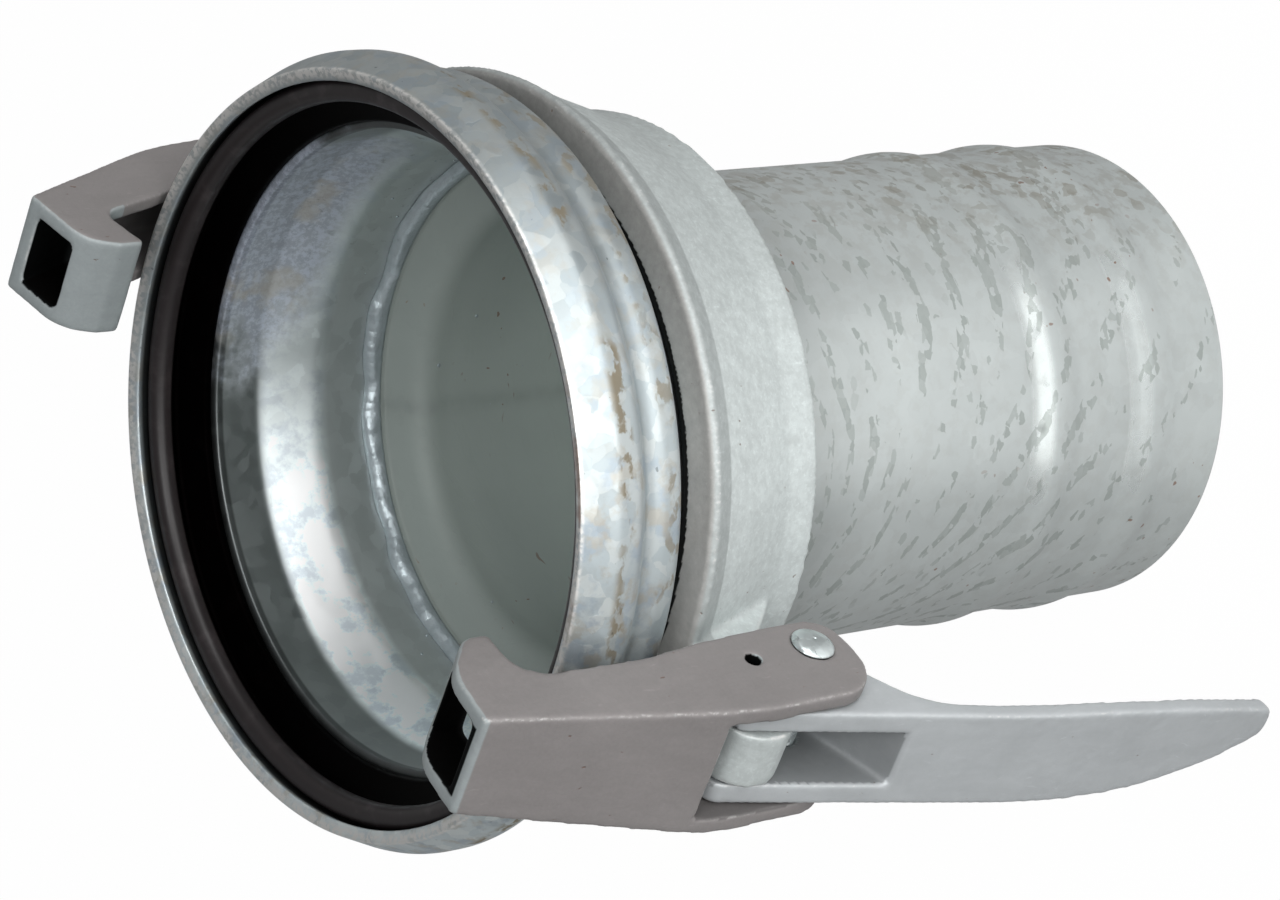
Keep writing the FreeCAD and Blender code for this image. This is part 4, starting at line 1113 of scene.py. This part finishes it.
def build_lamps():
    """Two wide soft lamps low over the mouth's plane and a smaller one that shines into the socket."""
    centre = Vector((0.0, 0.0, 0.12))
    for name, direction, distance, width, height, power in (
            ("key", (0.77, 0.57, 0.30), 1.3, 1.2, 0.9, 8.6),
            ("side", (0.16, 0.93, 0.33), 1.3, 1.2, 0.6, 6.5),
            ("fill", (0.46, 0.44, 0.80), 1.5, 0.5, 0.5, 7.0)):
        lamp = bpy.data.lights.new(name, "AREA")
        lamp.shape = "ELLIPSE"
        lamp.size = width
        lamp.size_y = height
        lamp.energy = power
        placed = bpy.data.objects.new(name, lamp)
        bpy.context.scene.collection.objects.link(placed)
        away = Vector(direction).normalized()
        placed.location = centre + away * distance
        placed.rotation_euler = (-away).to_track_quat("-Z", "Y").to_euler()


# Operators and panel

class CouplingOperator:
    """What all the operators share: each runs its makers and finishes."""

    bl_options = {"REGISTER", "UNDO"}
    makers = ()

    def execute(self, context):
        for maker in self.makers:
            maker()
        return {"FINISHED"}


class COUPLING_OT_stage(CouplingOperator, bpy.types.Operator):
    """Make the camera, the floor, the room light and the lamps"""
    bl_idname = "coupling.stage"
    bl_label = "Stage"
    makers = (build_camera, build_floor, build_world, build_lamps)


class COUPLING_OT_tube(CouplingOperator, bpy.types.Operator):
    """Make the beaded hose tube"""
    bl_idname = "coupling.tube"
    bl_label = "Hose tube"
    makers = (build_tube,)


class COUPLING_OT_bell(CouplingOperator, bpy.types.Operator):
    """Make the bell and the inner socket"""
    bl_idname = "coupling.bell"
    bl_label = "Bell and socket"
    makers = (build_bell,)


class COUPLING_OT_weld(CouplingOperator, bpy.types.Operator):
    """Make the weld and its spatter"""
    bl_idname = "coupling.weld"
    bl_label = "Weld"
    makers = (build_weld, build_spatter)


class COUPLING_OT_seal(CouplingOperator, bpy.types.Operator):
    """Make the rubber seal"""
    bl_idname = "coupling.seal"
    bl_label = "Seal"
    makers = (build_seal,)


class COUPLING_OT_castings(CouplingOperator, bpy.types.Operator):
    """Make the clamp ring, the lever, the claw and the hook"""
    bl_idname = "coupling.castings"
    bl_label = "Castings"
    makers = (build_ring, build_lever, build_claws)


class COUPLING_OT_pins(CouplingOperator, bpy.types.Operator):
    """Make the hinge pins"""
    bl_idname = "coupling.pins"
    bl_label = "Hinge pins"
    makers = (build_pins,)


OPERATORS = (COUPLING_OT_stage, COUPLING_OT_tube, COUPLING_OT_bell, COUPLING_OT_weld,
             COUPLING_OT_seal, COUPLING_OT_castings, COUPLING_OT_pins)


class COUPLING_PT_panel(bpy.types.Panel):
    """Lists the coupling's sizes, colours and operators"""
    bl_idname = "COUPLING_PT_panel"
    bl_label = "Hose coupling"
    bl_space_type = "VIEW_3D"
    bl_region_type = "UI"
    bl_category = "Coupling"

    def draw(self, context):
        for group in (context.scene.coupling_shapes, context.scene.coupling_colours):
            box = self.layout.box()
            for name in group.bl_rna.properties.keys():
                if name not in ("rna_type", "name"):
                    box.prop(group, name)
        for operator in OPERATORS:
            self.layout.operator(operator.bl_idname)


CLASSES = (CouplingShapes, CouplingColours, *OPERATORS, COUPLING_PT_panel)


def register():
    for item in CLASSES:
        bpy.utils.register_class(item)
    bpy.types.Scene.coupling_shapes = bpy.props.PointerProperty(type=CouplingShapes)
    bpy.types.Scene.coupling_colours = bpy.props.PointerProperty(type=CouplingColours)


def unregister():
    del bpy.types.Scene.coupling_colours
    del bpy.types.Scene.coupling_shapes
    for item in reversed(CLASSES):
        bpy.utils.unregister_class(item)


def main():
    """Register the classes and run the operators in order."""
    register()
    bpy.context.scene.view_settings.view_transform = "Standard"
    for operator in OPERATORS:
        category, name = operator.bl_idname.split(".")
        getattr(getattr(bpy.ops, category), name)()


if __name__ == "__main__":
    main()
